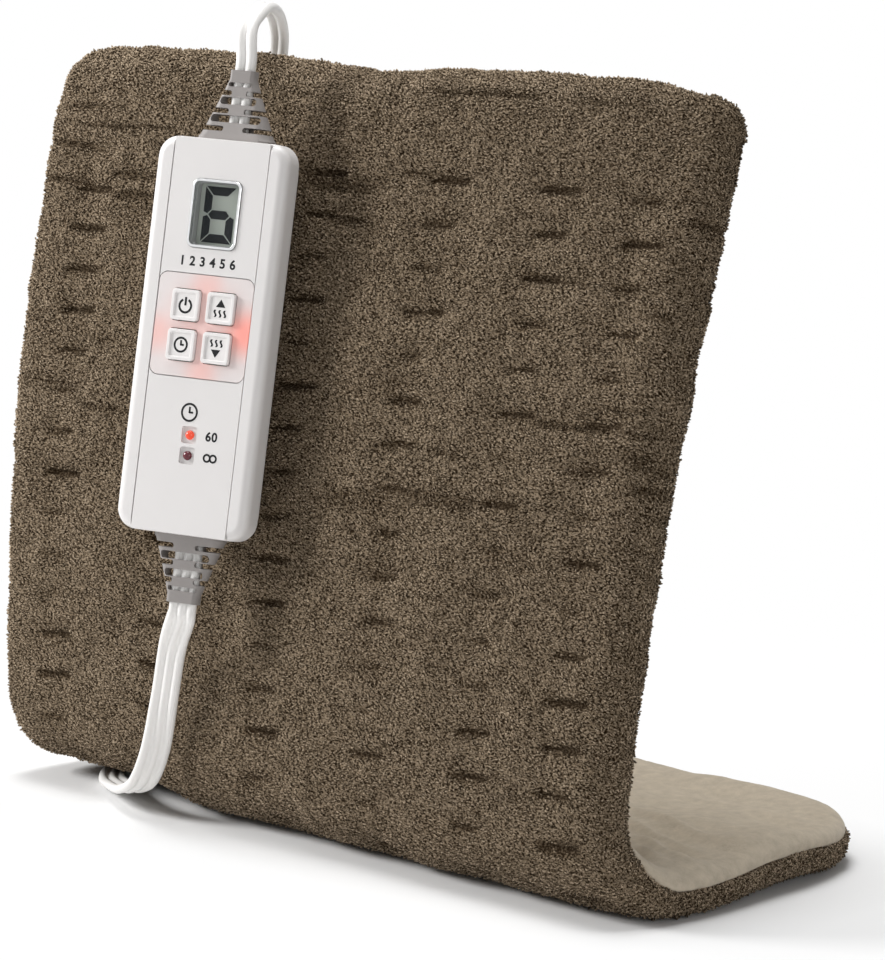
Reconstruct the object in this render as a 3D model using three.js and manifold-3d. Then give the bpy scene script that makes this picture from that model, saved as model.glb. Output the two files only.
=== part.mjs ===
// Heating pad folded into an L, with its controller hanging in front on its two flat cords.
// Millimetres, +Z up. X runs along the pad's width, +Y to the back where the base lies.
import * as THREE from 'three';
import { mergeVertices } from 'three/addons/utils/BufferGeometryUtils.js';
import Module from 'manifold-3d';

const wasm = await Module();
wasm.setup();
const { degToRad, lerp, clamp } = THREE.MathUtils;
const { cos, sin, PI, hypot, sqrt, abs, min, max } = Math;
const vec = (x, y, z) => new THREE.Vector3(x, y, z);

// Clearance between pieces that touch, how far joined shapes reach into each other and cuts run past
const GAP = 0.3;
const MERGE = 0.5;
const PAST = 1;

// Facets of round and bent shapes
const BEND_STEPS = 8;
const CORNER_STEPS = 3;
const UPRIGHT_STEPS = 7;
const ROUND_SIDES = 10;
const RING_STEPS = 3;
const OVAL_SIDES = 12;
const WIRE_SIDES = 4;
const LOOP_STEPS = 24;
const SPAN_STEPS = 3;

// Pad, laid flat: a 12 by 15 inch blanket
const PAD_WIDTH = 305;
const PAD_LENGTH = 381;
const TOP_CORNER = 18;
const REAR_CORNER = 48;
const EDGE_ROUND = 7;
const EDGE_DROP = 8;

// Layers of the pad, from the plush side to the fleece side
const PLUSH_THICK = 3;
const PLUSH_RIM = 3.5;
const RIM_DEPTH = 12.9;
const RIM_DRAW = 1.6;
const FRONT_BATTING_THICK = 2.8;
const WIRE_DIAMETER = 1.8;
const WIRE_SPARE = 0.25;
const REAR_BATTING_THICK = 2.1;
const FLEECE_THICK = 4.35;
const FLEECE_EDGE = 1.6;
const FLEECE_CROWN_RUN = 20;

// Tack dents sewn across the plush
const DENT_COLUMNS = 6;
const DENT_PITCH_X = 51;
const DENT_HALF_LENGTH = 12;
const DENT_PITCH_U = 15.4;
const DENT_DEPTH = 1.5;
const DENT_TOP_MARGIN = 20;

// How the pad stands: base run, fold and a back that leans more at the right
const BASE_RUN = 115;
const FOLD_INNER_RADIUS = 11;
const LEAN_LEFT = degToRad(-0.6);
const LEAN_RIGHT = degToRad(8.7);
const CURL_RADIUS_LEFT = 800;
const CURL_RADIUS_RIGHT = 1266;
const LEAD_LIFT = 5;
const LIFT_FULL_INSET = 58;
const LIFT_FROM_INSET = 88;

// Heating wire and what it joins
const WIRE_RUNS = 12;
const WIRE_PITCH = 27;
const WIRE_TURN_INSET = 41;
const WIRE_LANE_INSET = 14.5;
const WIRE_BEND = 4.5;
const THERMOSTAT = { x: 16, u: 7, n: 3.4 };
const THERMOSTAT_BASE = { x: 40, runs: 0.5 };
const THERMOSTAT_BACK = { x: -30, runs: 6.5 };
const JUNCTION = { x: 22, u: 16, n: 5 };
const GLAND_U = 60;
const GLAND_FLANGE = { y: 18, z: 8.4, thick: 2, corner: 2.5 };
const GLAND_WALL = 0.9;

// Controller case; depths run inwards from its face
const CASE_WIDTH = 48;
const CASE_LENGTH = 131;
const CASE_DEPTH = 20.5;
const CASE_CORNER = 7;
const CASE_WALL = 2;
const PARTING_DEPTH = 8.5;
const FACE_ROUND = 2.4;
const BACK_ROUND = 6.5;
const FACE_WALL = 2;

// Inlaid face strip
const STRIP_WIDTH = 35.5;
const STRIP_THICK = 1.2;
const STRIP_SINK = 0.1;
const SEAM = 0.35;

// Display
const LCD_FROM_TOP = 24.9;
const BEZEL_WIDTH = 18.2;
const BEZEL_HEIGHT = 22.7;
const BEZEL_CORNER = 2.5;
const BEZEL_RIM = 1.4;
const BEZEL_PROUD = 0.5;
const WINDOW_THICK = 1;
const WINDOW_SEAT = 0.9;
const LCD_MARGIN = 2.5;
const LCD_THICK = 2.2;
const LCD_CONNECTOR_WIDTH = 3;

// Keypad
const KEYPAD_FROM_TOP = 62.1;
const KEYPAD_LENGTH = 34;
const KEYPAD_CORNER = 3;
const KEY_SIZE = 10.3;
const KEY_CORNER = 1.8;
const KEY_SPACING = 13.2;
const KEY_PROUD = 1.1;
const KEY_DISH = 0.7;
const KEY_RIM = 1.3;
const KEY_FLANGE = 1;
const KEY_FLANGE_THICK = 1;
const KEY_TRAVEL = 0.8;
const LIGHT_SLOT_WIDTH = 2.2;
const LIGHT_SLOT_LENGTH = 24;

// Switches under the keys
const SWITCH_SIZE = 6;
const SWITCH_HEIGHT = 3.5;
const PLUNGER_DIAMETER = 3.4;
const PLUNGER_STROKE_ROOM = 1.2;

// Indicator lamps
const LED_FROM_TOP = [97.9, 104.7];
const LED_NAMES = ['indicator_on', 'indicator_auto_off'];
const LED_POCKET = 5.6;
const LED_POCKET_CORNER = 0.6;
const LED_DIAMETER = 3;
const LED_FLANGE_DIAMETER = 3.8;
const LED_SINK = 0.6;
const LED_LENS = 5;

// Circuit board and what is on it
const BOARD_SIDE_INSET = 5;
const BOARD_END_INSET = 15.5;
const BOARD_THICK = 1.6;
const POST_DIAMETER = 5;
const POST_SIDE_INSET = 3.5;
const POST_END_INSET = 5;
const TRIAC = { x: 10, y: 15, z: 3.9, at: [9, 25] };
const CAPACITOR = { x: 13, y: 18, at: [7, 0] };
const CAPACITOR_CLEARANCE = 0.8;
const PROCESSOR = { x: 7.5, y: 10.3, z: 2.3, at: [-8, -5] };
const FUSE_DIAMETER = 4;
const FUSE_LENGTH = 15;
const FUSE_SIDE_INSET = 8;
const FUSE_END_INSET = 20;
const GLOW_LED = { x: 2, y: 3.2, z: 1.2 };

// Screws that close the case from behind
const SCREW_SIDE_INSET = 9;
const SCREW_END_INSET = 9.5;
const SCREW_DIAMETER = 2.8;
const SCREW_HEAD_DIAMETER = 5.6;
const SCREW_HEAD_HEIGHT = 1.8;
const SCREW_RECESS = 0.4;
const SCREW_TIP_WALL = 1.2;
const BOSS_DIAMETER = 8;

// Flat cords: two cores to the mains, three to the pad
const MAINS = { width: 7.3, thick: 3.6, cores: 2 };
const LEAD = { width: 9.6, thick: 3.2, cores: 3 };
const CORE_GROOVE = 0.72;
const CORD_INSIDE = 12;

// Strain reliefs
const RELIEF_LEVEL = 9.6;
const RELIEF_NECK = { x: 21, z: 7.2 };
const RELIEF_FLANGE = { x: 2.2, z: 1.2 };
const RELIEF_FLANGE_THICK = 1.8;
const RELIEF_WALL = 1.5;
const MAINS_RELIEF = { length: 23.5, width: 28.7, thick: 11.5, endWidth: 11.2, endThick: 7.4 };
const LEAD_RELIEF = { length: 22.5, width: 26.7, thick: 11.5, endWidth: 13.4, endThick: 7 };
const RELIEF_SLOTS = 5;
const RELIEF_COLLAR = 2.8;
const RELIEF_RIB = 1.7;
const RELIEF_FLARE = [0.08, 0.25, 0.45, 0.7, 1];
const RELIEF_FLARE_POWER = 2.2;
const OVAL_POWER = 0.6;

// How the controller hangs: turned towards the right, leaning back, rolled a little
const HANG_TURN = degToRad(22);
const HANG_LEAN = degToRad(10);
const HANG_ROLL = degToRad(2.6);
const REST_X = -19.9;
const REST_HEIGHT_ON_CASE = -5;
const REST_U = 277;

// Coiled lengths of the cords
const MAINS_COIL = { x: -15, y: 59, inner: 32.5, turns: 3.2, start: degToRad(165), spare: 0.7, way: -1 };
const LEAD_COIL = { x: -185, y: 81, inner: 22, turns: 1.25, start: degToRad(90), spare: 1.1, way: 1 };

// Plug on the mains cord
const PLUG = { long: 30, wide: 23, thick: 15, tail: 9, shoulder: 4, corner: 3, nose: 1, wall: 2 };
const PLUG_PLACE = { x: 42, y: 44 };
const PLUG_HEADING = degToRad(-86);
const BLADE = { long: 16.5, thick: 1.5, apart: 12.7, seat: 3 };
const BLADE_WIDTHS = { plug_blade_line: 6.3, plug_blade_neutral: 7.9 };

// Colours, roughness and metalness
const finish = (color, roughness, metalness = 0) => (
  new THREE.MeshStandardMaterial({ color, roughness, metalness })
);
const PLUSH = finish(0x635645, 0.95);
const FLEECE = finish(0xbcae98, 0.95);
const BATTING = finish(0xe9e6df, 0.95);
const WHITE = finish(0xeeeeec, 0.35);
const CORD_WHITE = finish(0xe9eaec, 0.45);
const GREY = finish(0x9a9c9d, 0.55);
const GLOW_PANEL = finish(0xd9cfcb, 0.3);
const KEY_GREY = finish(0xb9b5b3, 0.4);
const CHROME = finish(0xc9cbcd, 0.15, 0.9);
const CLEAR = finish(0xa9b3a5, 0.1);
const LCD_GLASS = finish(0x8b9686, 0.3);
const RED = finish(0xb3160f, 0.25);
const DARK = finish(0x26282a, 0.5);
const BOARD_GREEN = finish(0x1f5b38, 0.5);
const STEEL = finish(0xa9adb0, 0.3, 0.9);
const BRASS = finish(0xb9a04e, 0.3, 0.9);
const CERAMIC = finish(0xc8b58d, 0.6);

// Closed solids and booleans

function closed(points, faces) {
  const geometry = new THREE.BufferGeometry().setFromPoints(points);
  let volume = 0;
  for (let i = 0; i < faces.length; i += 3) {
    const [a, b, c] = [points[faces[i]], points[faces[i + 1]], points[faces[i + 2]]];
    volume += a.dot(b.clone().cross(c));
  }
  geometry.setIndex(volume < 0 ? faces.toReversed() : faces);
  geometry.computeVertexNormals();
  return geometry;
}

function manifoldOf(geometry) {
  const bare = geometry.clone();
  bare.deleteAttribute('normal');
  bare.deleteAttribute('uv');
  const merged = mergeVertices(bare, 1e-4);
  return new wasm.Manifold(new wasm.Mesh({
    numProp: 3,
    vertProperties: Float32Array.from(merged.attributes.position.array),
    triVerts: Uint32Array.from(merged.index.array),
  }));
}

function geometryOf(manifold) {
  const mesh = manifold.getMesh();
  const geometry = new THREE.BufferGeometry();
  geometry.setAttribute('position', new THREE.BufferAttribute(mesh.vertProperties, 3));
  geometry.setIndex(new THREE.BufferAttribute(mesh.triVerts, 1));
  geometry.computeVertexNormals();
  return geometry;
}

const combine = (how) => (first, ...others) => (
  geometryOf(others.reduce((body, other) => body[how](manifoldOf(other)), manifoldOf(first)))
);
const cut = combine('subtract');
const join = combine('add');
const shared = combine('intersect');

// A solid through equal rings of points, closed flat at both ends
function ringSolid(rings) {
  const count = rings[0].length;
  const faces = [];
  for (let r = 0; r + 1 < rings.length; r += 1) {
    for (let i = 0; i < count; i += 1) {
      const [a, b] = [r * count + i, r * count + (i + 1) % count];
      faces.push(a, b, b + count, a, b + count, a + count);
    }
  }
  for (const [ring, first] of [[rings[0], 0], [rings.at(-1), (rings.length - 1) * count]]) {
    for (const [a, b, c] of capOf(ring)) {
      faces.push(...(first ? [a, b, c] : [c, b, a]).map((i) => i + first));
    }
  }
  return closed(rings.flat(), faces);
}

// Triangles over a flat ring, turning the same way as the ring
function capOf(ring) {
  const normal = vec(0, 0, 0);
  ring.forEach((p, i) => normal.add(p.clone().cross(ring[(i + 1) % ring.length])));
  const turn = new THREE.Quaternion().setFromUnitVectors(normal.normalize(), vec(0, 0, 1));
  const flat = ring.map((p) => p.clone().sub(ring[0]).applyQuaternion(turn));
  return THREE.ShapeUtils.triangulateShape(flat.map((p) => new THREE.Vector2(p.x, p.y)), []);
}

// A solid between two sheets of points whose rows may hold different counts
function sheetSolid(front, back) {
  const starts = [];
  let total = 0;
  for (const row of front) {
    starts.push(total);
    total += row.length;
  }
  const faces = [];
  const indices = (r, side) => front[r].map((_, i) => side * total + starts[r] + i);
  const share = (i) => {
    const r = starts.findLastIndex((s) => s <= i % total);
    const row = front[r];
    return (row[i % total - starts[r]].x - row[0].x) / (row.at(-1).x - row[0].x);
  };
  const zip = (a, b, flip) => {
    let [i, j] = [0, 0];
    while (i + 1 < a.length || j + 1 < b.length) {
      const along = j + 1 === b.length || (i + 1 < a.length && share(a[i + 1]) <= share(b[j + 1]));
      const face = along ? [a[i], a[i + 1], b[j]] : [a[i], b[j + 1], b[j]];
      faces.push(...(flip ? face.reverse() : face));
      if (along) i += 1;
      else j += 1;
    }
  };
  const wall = (a, b, c, d) => faces.push(a, b, c, a, c, d);
  for (let r = 0; r + 1 < front.length; r += 1) {
    zip(indices(r, 0), indices(r + 1, 0), false);
    zip(indices(r, 1), indices(r + 1, 1), true);
    const [a, b] = [starts[r], starts[r + 1]];
    wall(a, b, b + total, a + total);
    const [c, d] = [a + front[r].length - 1, b + front[r + 1].length - 1];
    wall(d, c, c + total, d + total);
  }
  for (const [r, flip] of [[0, true], [front.length - 1, false]]) {
    const row = indices(r, 0);
    for (let i = 0; i + 1 < row.length; i += 1) {
      const quad = [row[i], row[i + 1], row[i + 1] + total, row[i] + total];
      wall(...(flip ? quad.reverse() : quad));
    }
  }
  return closed([...front.flat(), ...back.flat()], faces);
}

// Upright prisms, rings and turned pieces for the controller, with z from low to high

const box = (x, y, z) => (
  new THREE.BoxGeometry(x[1] - x[0], y[1] - y[0], z[1] - z[0])
    .translate((x[0] + x[1]) / 2, (y[0] + y[1]) / 2, (z[0] + z[1]) / 2)
);
const about = (middle, size) => [middle - size / 2, middle + size / 2];

function roundedShape(width, length, corner) {
  const [x, y] = [width / 2 - corner, length / 2 - corner];
  const shape = new THREE.Shape();
  shape.absarc(x, y, corner, 0, PI / 2);
  shape.absarc(-x, y, corner, PI / 2, PI);
  shape.absarc(-x, -y, corner, PI, 1.5 * PI);
  shape.absarc(x, -y, corner, 1.5 * PI, 2 * PI);
  return shape;
}

const plate = (width, length, corner, [x, y], [low, high]) => (
  new THREE.ExtrudeGeometry(roundedShape(width, length, corner), {
    depth: high - low,
    bevelEnabled: false,
    curveSegments: 3,
  }).translate(x, y, low)
);

function roundedRing(width, length, corner, z) {
  const points = roundedShape(width, length, max(corner, 0.5)).getPoints(RING_STEPS);
  const ring = points.filter((p, i) => i === 0 || p.distanceTo(points[i - 1]) > 1e-6);
  if (ring[0].distanceTo(ring.at(-1)) < 1e-6) ring.pop();
  return ring.map((p) => vec(p.x, p.y, z));
}

// The case's outline drawn in by an inset at each depth
const caseLoft = (steps) => ringSolid(steps.map(([depth, inset]) => roundedRing(
  CASE_WIDTH - 2 * inset, CASE_LENGTH - 2 * inset, CASE_CORNER - inset, -depth,
)));

const turned = (profile, [x, y]) => (
  new THREE.LatheGeometry(profile.map(([r, z]) => new THREE.Vector2(r, z)), ROUND_SIDES)
    .rotateX(PI / 2).translate(x, y, 0)
);
const rod = (diameter, place, [low, high]) => turned(
  [[0, low], [diameter / 2, low], [diameter / 2, high], [0, high]], place,
);

// The pad's surface: u runs from the base's rear end round the fold to the top edge,
// n outwards from the pad's middle to the plush

const WIRE_DEPTH = PLUSH_THICK + FRONT_BATTING_THICK + 2 * GAP;
const REAR_BATTING_DEPTH = WIRE_DEPTH + WIRE_DIAMETER + GAP + WIRE_SPARE;
const FLEECE_DEPTH = REAR_BATTING_DEPTH + REAR_BATTING_THICK + GAP;
const PAD_THICK = FLEECE_DEPTH + FLEECE_THICK;
const level = (depth) => PAD_THICK / 2 - depth;
const WIRE_LEVEL = level(WIRE_DEPTH + WIRE_DIAMETER / 2);
const MID_RADIUS = FOLD_INNER_RADIUS + PAD_THICK / 2;
const BEND_RUN = MID_RADIUS * (PI / 2 + (LEAN_LEFT + LEAN_RIGHT) / 2);
const LIFT_FULL = PAD_WIDTH / 2 - LIFT_FULL_INSET;
const LIFT_FROM = PAD_WIDTH / 2 - LIFT_FROM_INSET;

const across = (x, left, right) => lerp(left, right, x / PAD_WIDTH + 0.5);
// The left end stands off the floor to let the lead through; the lift dies out up the upright
function liftAt(x, u) {
  const upright = (u - BASE_RUN - BEND_RUN) / (PAD_LENGTH - BASE_RUN - BEND_RUN);
  const along = clamp((-LIFT_FROM - x) / (LIFT_FULL - LIFT_FROM), 0, 1);
  return LEAD_LIFT * along * (1 - clamp(upright, 0, 1));
}

function onPad(x, u, n) {
  const lean = across(x, LEAN_LEFT, LEAN_RIGHT);
  const middle = PAD_THICK / 2 + liftAt(x, u);
  if (u <= BASE_RUN) return vec(x, BASE_RUN - u, middle - n);
  const round = MID_RADIUS + n;
  if (u <= BASE_RUN + BEND_RUN) {
    const angle = (u - BASE_RUN) / BEND_RUN * (PI / 2 + lean);
    return vec(x, -round * sin(angle), middle + MID_RADIUS - round * cos(angle));
  }
  const curl = across(x, 1 / CURL_RADIUS_LEFT, 1 / CURL_RADIUS_RIGHT);
  const tilt = lean + curl * (u - BASE_RUN - BEND_RUN);
  const y = (cos(lean) - cos(tilt)) / curl - MID_RADIUS * cos(lean);
  const z = (sin(tilt) - sin(lean)) / curl + MID_RADIUS * (1 + sin(lean)) + middle;
  return vec(x, y - n * cos(tilt), z + n * sin(tilt));
}

// Rows of the pad's outline drawn in by an inset: how far along, and half the width there
function outlineRows(inset, cornerSteps, uprightSteps) {
  const corner = (radius, k) => {
    const angle = k / cornerSteps * PI / 2;
    const along = inset + (radius - inset) * (1 - cos(angle));
    return [along, PAD_WIDTH / 2 - radius + (radius - inset) * sin(angle)];
  };
  const half = PAD_WIDTH / 2 - inset;
  const rows = [];
  for (let k = 0; k <= cornerSteps; k += 1) rows.push(corner(REAR_CORNER, k));
  for (let k = 0; k <= BEND_STEPS; k += 1) rows.push([BASE_RUN + k / BEND_STEPS * BEND_RUN, half]);
  const [low, high] = [BASE_RUN + BEND_RUN, PAD_LENGTH - TOP_CORNER];
  for (let k = 1; k < uprightSteps; k += 1) rows.push([lerp(low, high, k / uprightSteps), half]);
  for (let k = cornerSteps; k >= 0; k -= 1) {
    const [along, width] = corner(TOP_CORNER, k);
    rows.push([PAD_LENGTH - along, width]);
  }
  return rows;
}

// How far a place on the pad lies inside its outline
function insideEdge(x, u) {
  const [side, end] = [PAD_WIDTH / 2 - abs(x), min(u, PAD_LENGTH - u)];
  const corner = u < PAD_LENGTH / 2 ? REAR_CORNER : TOP_CORNER;
  if (side > corner || end > corner) return min(side, end);
  return corner - hypot(corner - side, corner - end);
}

const INNER_COLUMNS = [-LIFT_FULL, -LIFT_FROM, 0, LIFT_FROM, LIFT_FULL];
const layerColumns = (half) => [-half, ...INNER_COLUMNS, half];

// One flat layer of the pad between two depths; its back may be given as a function of the place
function padLayer(inset, depth, backDepth, columns = layerColumns) {
  const rows = outlineRows(inset, CORNER_STEPS, UPRIGHT_STEPS);
  const sheet = (depthAt) => rows.map(([u, half]) => (
    columns(half).map((x) => onPad(x, u, level(depthAt(x, u))))
  ));
  return sheetSolid(sheet(() => depth), sheet(backDepth));
}

// A block that follows the pad, centred at x, u and a level
const padBlock = (x, u, n, size, extra = 0) => {
  const sheet = (height) => about(u, size.u + extra).map((along) => (
    about(x, size.x + extra).map((place) => onPad(place, along, height))
  ));
  const [low, high] = about(n, size.n + extra);
  return sheetSolid(sheet(high), sheet(low));
};

// Pad pieces

const JUNCTION_X = PLUSH_RIM + GAP + JUNCTION.x / 2 - PAD_WIDTH / 2;
const junctionBlock = (extra) => padBlock(JUNCTION_X, GLAND_U, WIRE_LEVEL, JUNCTION, extra);
const THERMOSTAT_LEVEL = WIRE_LEVEL + (THERMOSTAT.n - WIRE_DIAMETER) / 2;
const THERMOSTAT_PLACES = [
  ['thermostat_base', THERMOSTAT_BASE.x, GLAND_U + THERMOSTAT_BASE.runs * WIRE_PITCH],
  ['thermostat_back', THERMOSTAT_BACK.x, GLAND_U + THERMOSTAT_BACK.runs * WIRE_PITCH],
];
const thermostatBlock = ([, x, u], extra) => padBlock(x, u, THERMOSTAT_LEVEL, THERMOSTAT, extra);

// The gland's openings lie in the flat, lifted end of the base
const GLAND_Y = BASE_RUN - GLAND_U;
const GLAND_Z = PAD_THICK / 2 + LEAD_LIFT - WIRE_LEVEL;
const GLAND_NECK = {
  y: LEAD.width + 2 * (GAP + GLAND_WALL),
  z: LEAD.thick + 2 * (GAP + GLAND_WALL),
};

// Tack dents: rows alternate between a dent line and a crest line up the standing back
function plushFront() {
  const edge = [0, 2, EDGE_ROUND];
  const frame = (half, inner) => [
    ...edge.map((e) => e - half), ...inner, ...edge.map((e) => half - e).reverse(),
  ];
  const plain = [-LIFT_FULL, -LIFT_FROM, LIFT_FROM];
  const dents = [];
  for (let k = 0; k < DENT_COLUMNS; k += 1) {
    const middle = (k - (DENT_COLUMNS - 1) / 2) * DENT_PITCH_X;
    dents.push(middle - DENT_HALF_LENGTH, middle, middle + DENT_HALF_LENGTH);
  }
  const bottom = BASE_RUN + BEND_RUN;
  const top = PAD_LENGTH - TOP_CORNER;
  const rows = outlineRows(0, CORNER_STEPS + 1, 1)
    .map(([u, half]) => ({ u, half, inner: plain, low: [] }));
  const count = Math.floor((top - bottom - DENT_TOP_MARGIN) / DENT_PITCH_U);
  for (let k = 1; k <= 2 * count; k += 1) {
    const low = k % 2 ? dents.filter((_, i) => i % 3 === 1) : [];
    rows.push({ u: bottom + k * DENT_PITCH_U / 2, half: PAD_WIDTH / 2, inner: dents, low });
  }
  rows.sort((a, b) => a.u - b.u);
  const drop = (x, u) => {
    const inwards = 1 - clamp(insideEdge(x, u) / EDGE_ROUND, 0, 1);
    return EDGE_DROP * (1 - sqrt(1 - inwards * inwards));
  };
  const front = [];
  const back = [];
  for (const { u, half, inner, low } of rows) {
    const places = frame(half, inner);
    const depth = (x) => (low.includes(x) ? DENT_DEPTH : drop(x, u));
    front.push(places.map((x) => onPad(x, u, level(depth(x)))));
    const along = clamp(u, RIM_DRAW, PAD_LENGTH - RIM_DRAW);
    const held = half - RIM_DRAW;
    back.push(places.map((x) => onPad(x / half * held, along, level(RIM_DEPTH))));
  }
  return [front, back];
}

function plushCover() {
  const cavity = padLayer(PLUSH_RIM, PLUSH_THICK, () => PAD_THICK + PLUSH_THICK);
  const opening = box(
    [-PAD_WIDTH / 2 - EDGE_ROUND, PLUSH_RIM + GAP - PAD_WIDTH / 2],
    about(GLAND_Y, GLAND_NECK.y + 2 * GAP),
    about(GLAND_Z, GLAND_NECK.z + 2 * GAP),
  );
  return cut(sheetSolid(...plushFront()), cavity, opening);
}

function fleeceBack() {
  const inset = PLUSH_RIM + GAP;
  const crowned = (x, u) => {
    const rise = 1 - clamp((insideEdge(x, u) - inset) / FLEECE_CROWN_RUN, 0, 1);
    return FLEECE_DEPTH + lerp(FLEECE_THICK, FLEECE_EDGE, rise * rise);
  };
  const columns = (half) => {
    const run = min(FLEECE_CROWN_RUN, half - LIFT_FULL - GAP);
    const steps = [0, run / 4, run];
    return [...steps.map((s) => s - half), ...INNER_COLUMNS, ...steps.map((s) => half - s).reverse()];
  };
  return padLayer(inset, FLEECE_DEPTH, crowned, columns);
}

function batting(depth, thick) {
  const layer = padLayer(PLUSH_RIM + GAP, depth, () => depth + thick);
  const pockets = THERMOSTAT_PLACES.map((place) => thermostatBlock(place, 2 * GAP));
  return cut(layer, junctionBlock(2 * GAP), ...pockets);
}

// One wire from the junction, to and fro up the pad and back down a lane along the left edge
function heatingWire() {
  const turn = PAD_WIDTH / 2 - WIRE_TURN_INSET;
  const lane = PAD_WIDTH / 2 - WIRE_LANE_INSET;
  const start = JUNCTION_X + JUNCTION.x / 2 + GAP;
  const line = [[start, GLAND_U]];
  const corner = (x, u, inX, inU, outX, outU) => {
    line.push([x - inX * WIRE_BEND, u - inU * WIRE_BEND]);
    line.push([x + (outX - inX) * WIRE_BEND * 0.3, u + (outU - inU) * WIRE_BEND * 0.3]);
    line.push([x + outX * WIRE_BEND, u + outU * WIRE_BEND]);
  };
  const stations = outlineRows(0, CORNER_STEPS, UPRIGHT_STEPS).map(([u]) => u);
  const between = (low, high) => stations.filter((u) => u > low + WIRE_BEND && u < high - WIRE_BEND);
  for (let k = 0; k < WIRE_RUNS; k += 1) {
    const [u, way] = [GLAND_U + k * WIRE_PITCH, k % 2 ? -1 : 1];
    const places = [-LIFT_FULL, -LIFT_FROM, 0];
    line.push(...(way > 0 ? places : places.reverse()).map((x) => [x, u]));
    if (k + 1 === WIRE_RUNS) break;
    corner(way * turn, u, way, 0, 0, 1);
    line.push(...between(u, u + WIRE_PITCH).map((along) => [way * turn, along]));
    corner(way * turn, u + WIRE_PITCH, 0, 1, -way, 0);
  }
  const last = GLAND_U + (WIRE_RUNS - 1) * WIRE_PITCH;
  corner(-lane, last, -1, 0, 0, -1);
  const end = GLAND_U + JUNCTION.u / 2 + GAP;
  line.push(...between(end, last).reverse().map((u) => [-lane, u]), [-lane, end]);
  const centres = line.map(([x, u]) => onPad(x, u, WIRE_LEVEL));
  const ring = [];
  for (let k = 0; k < WIRE_SIDES; k += 1) {
    const angle = k / WIRE_SIDES * 2 * PI;
    ring.push([cos(angle) * WIRE_DIAMETER / 2, sin(angle) * WIRE_DIAMETER / 2]);
  }
  const outwards = line.map(([x, u]) => onPad(x, u, WIRE_LEVEL + 1).sub(onPad(x, u, WIRE_LEVEL)));
  return sweep(centres, outwards, ring);
}

// The gland clips round the plush rim and holds the lead
function leadGland() {
  const wall = GLAND_NECK;
  const outside = -PAD_WIDTH / 2 - GAP;
  const inside = PLUSH_RIM - PAD_WIDTH / 2;
  const flange = plate(
    GLAND_FLANGE.y, GLAND_FLANGE.z, GLAND_FLANGE.corner, [0, 0], [0, GLAND_FLANGE.thick],
  ).rotateX(PI / 2).rotateZ(-PI / 2).translate(outside, GLAND_Y, GLAND_Z);
  const neck = box([outside - GAP, inside], about(GLAND_Y, wall.y), about(GLAND_Z, wall.z));
  const bore = box(
    [outside - 2 * GLAND_FLANGE.thick, inside + GAP],
    about(GLAND_Y, LEAD.width + 2 * GAP),
    about(GLAND_Z, LEAD.thick + 2 * GAP),
  );
  return cut(join(flange, neck), bore);
}

// A section swept along centres, its second axis held to the side given at each centre
function sweep(centres, sides, section) {
  const rings = centres.map((centre, i) => {
    const before = centres[max(i - 1, 0)];
    const after = centres[min(i + 1, centres.length - 1)];
    const along = after.clone().sub(before).normalize();
    const wide = sides[i].clone().addScaledVector(along, -sides[i].dot(along)).normalize();
    const deep = along.clone().cross(wide);
    return section.map(([a, b]) => centre.clone().addScaledVector(deep, a).addScaledVector(wide, b));
  });
  return ringSolid(rings);
}

// Flat cords

// Section of a flat cord: round cores side by side with grooves between them; wide along the second axis
function cordSection({ width, thick, cores }) {
  const core = width / cores;
  const upper = [];
  for (let k = 0; k < cores; k += 1) {
    const middle = -width / 2 + (k + 0.5) * core;
    if (k) upper.push([CORE_GROOVE * thick / 2, middle - core / 2]);
    upper.push([thick / 2, middle]);
  }
  const lower = upper.map(([a, b]) => [-a, b]).reverse();
  return [[0, -width / 2], ...upper, [0, width / 2], ...lower];
}

// The same cord in a coil, its cores drawn as one flattened shape of six sides
const coilSection = ({ width, thick, cores }) => {
  const shoulder = width / 2 * (1 - 1 / cores);
  return [
    [0, -width / 2], [thick / 2, -shoulder], [thick / 2, shoulder],
    [0, width / 2], [-thick / 2, shoulder], [-thick / 2, -shoulder],
  ];
};

// A free stretch through chosen points; each point says which way the flat cord's width lies
function cordStretch(cord, route) {
  const curve = new THREE.CatmullRomCurve3(route.map(([place]) => place), false, 'centripetal');
  const steps = (route.length - 1) * SPAN_STEPS;
  const centres = [];
  const sides = [];
  for (let k = 0; k <= steps; k += 1) {
    const whole = min(Math.floor(k / SPAN_STEPS), route.length - 2);
    centres.push(curve.getPoint(k / steps));
    sides.push(route[whole][1].clone().lerp(route[whole + 1][1], k / SPAN_STEPS - whole));
  }
  return sweep(centres, sides, cordSection(cord));
}

// Centres of a coil of two layers: in along the lower, out along the upper; its way is 1 anticlockwise
function coilCentres(cord, coil, floor) {
  const pitch = cord.thick + coil.spare;
  const rise = cord.width + coil.spare;
  const centres = [];
  const steps = Math.round(2 * coil.turns * LOOP_STEPS);
  for (let k = 0; k <= steps; k += 1) {
    const turns = k / LOOP_STEPS - coil.turns;
    const radius = coil.inner + pitch * abs(turns);
    const angle = coil.start + coil.way * (turns + coil.turns) * 2 * PI;
    const climb = THREE.MathUtils.smoothstep(turns, -0.25, 0.25);
    centres.push(vec(
      coil.x + radius * cos(angle),
      coil.y + radius * sin(angle),
      floor + cord.width / 2 + rise * climb,
    ));
  }
  const straight = (from, to) => from.clone().sub(to).normalize();
  const first = straight(centres[0], centres[1]);
  const last = straight(centres.at(-1), centres.at(-2));
  centres.unshift(centres[0].clone().addScaledVector(first, cord.width));
  centres.push(centres.at(-1).clone().addScaledVector(last, cord.width));
  return centres;
}

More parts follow.
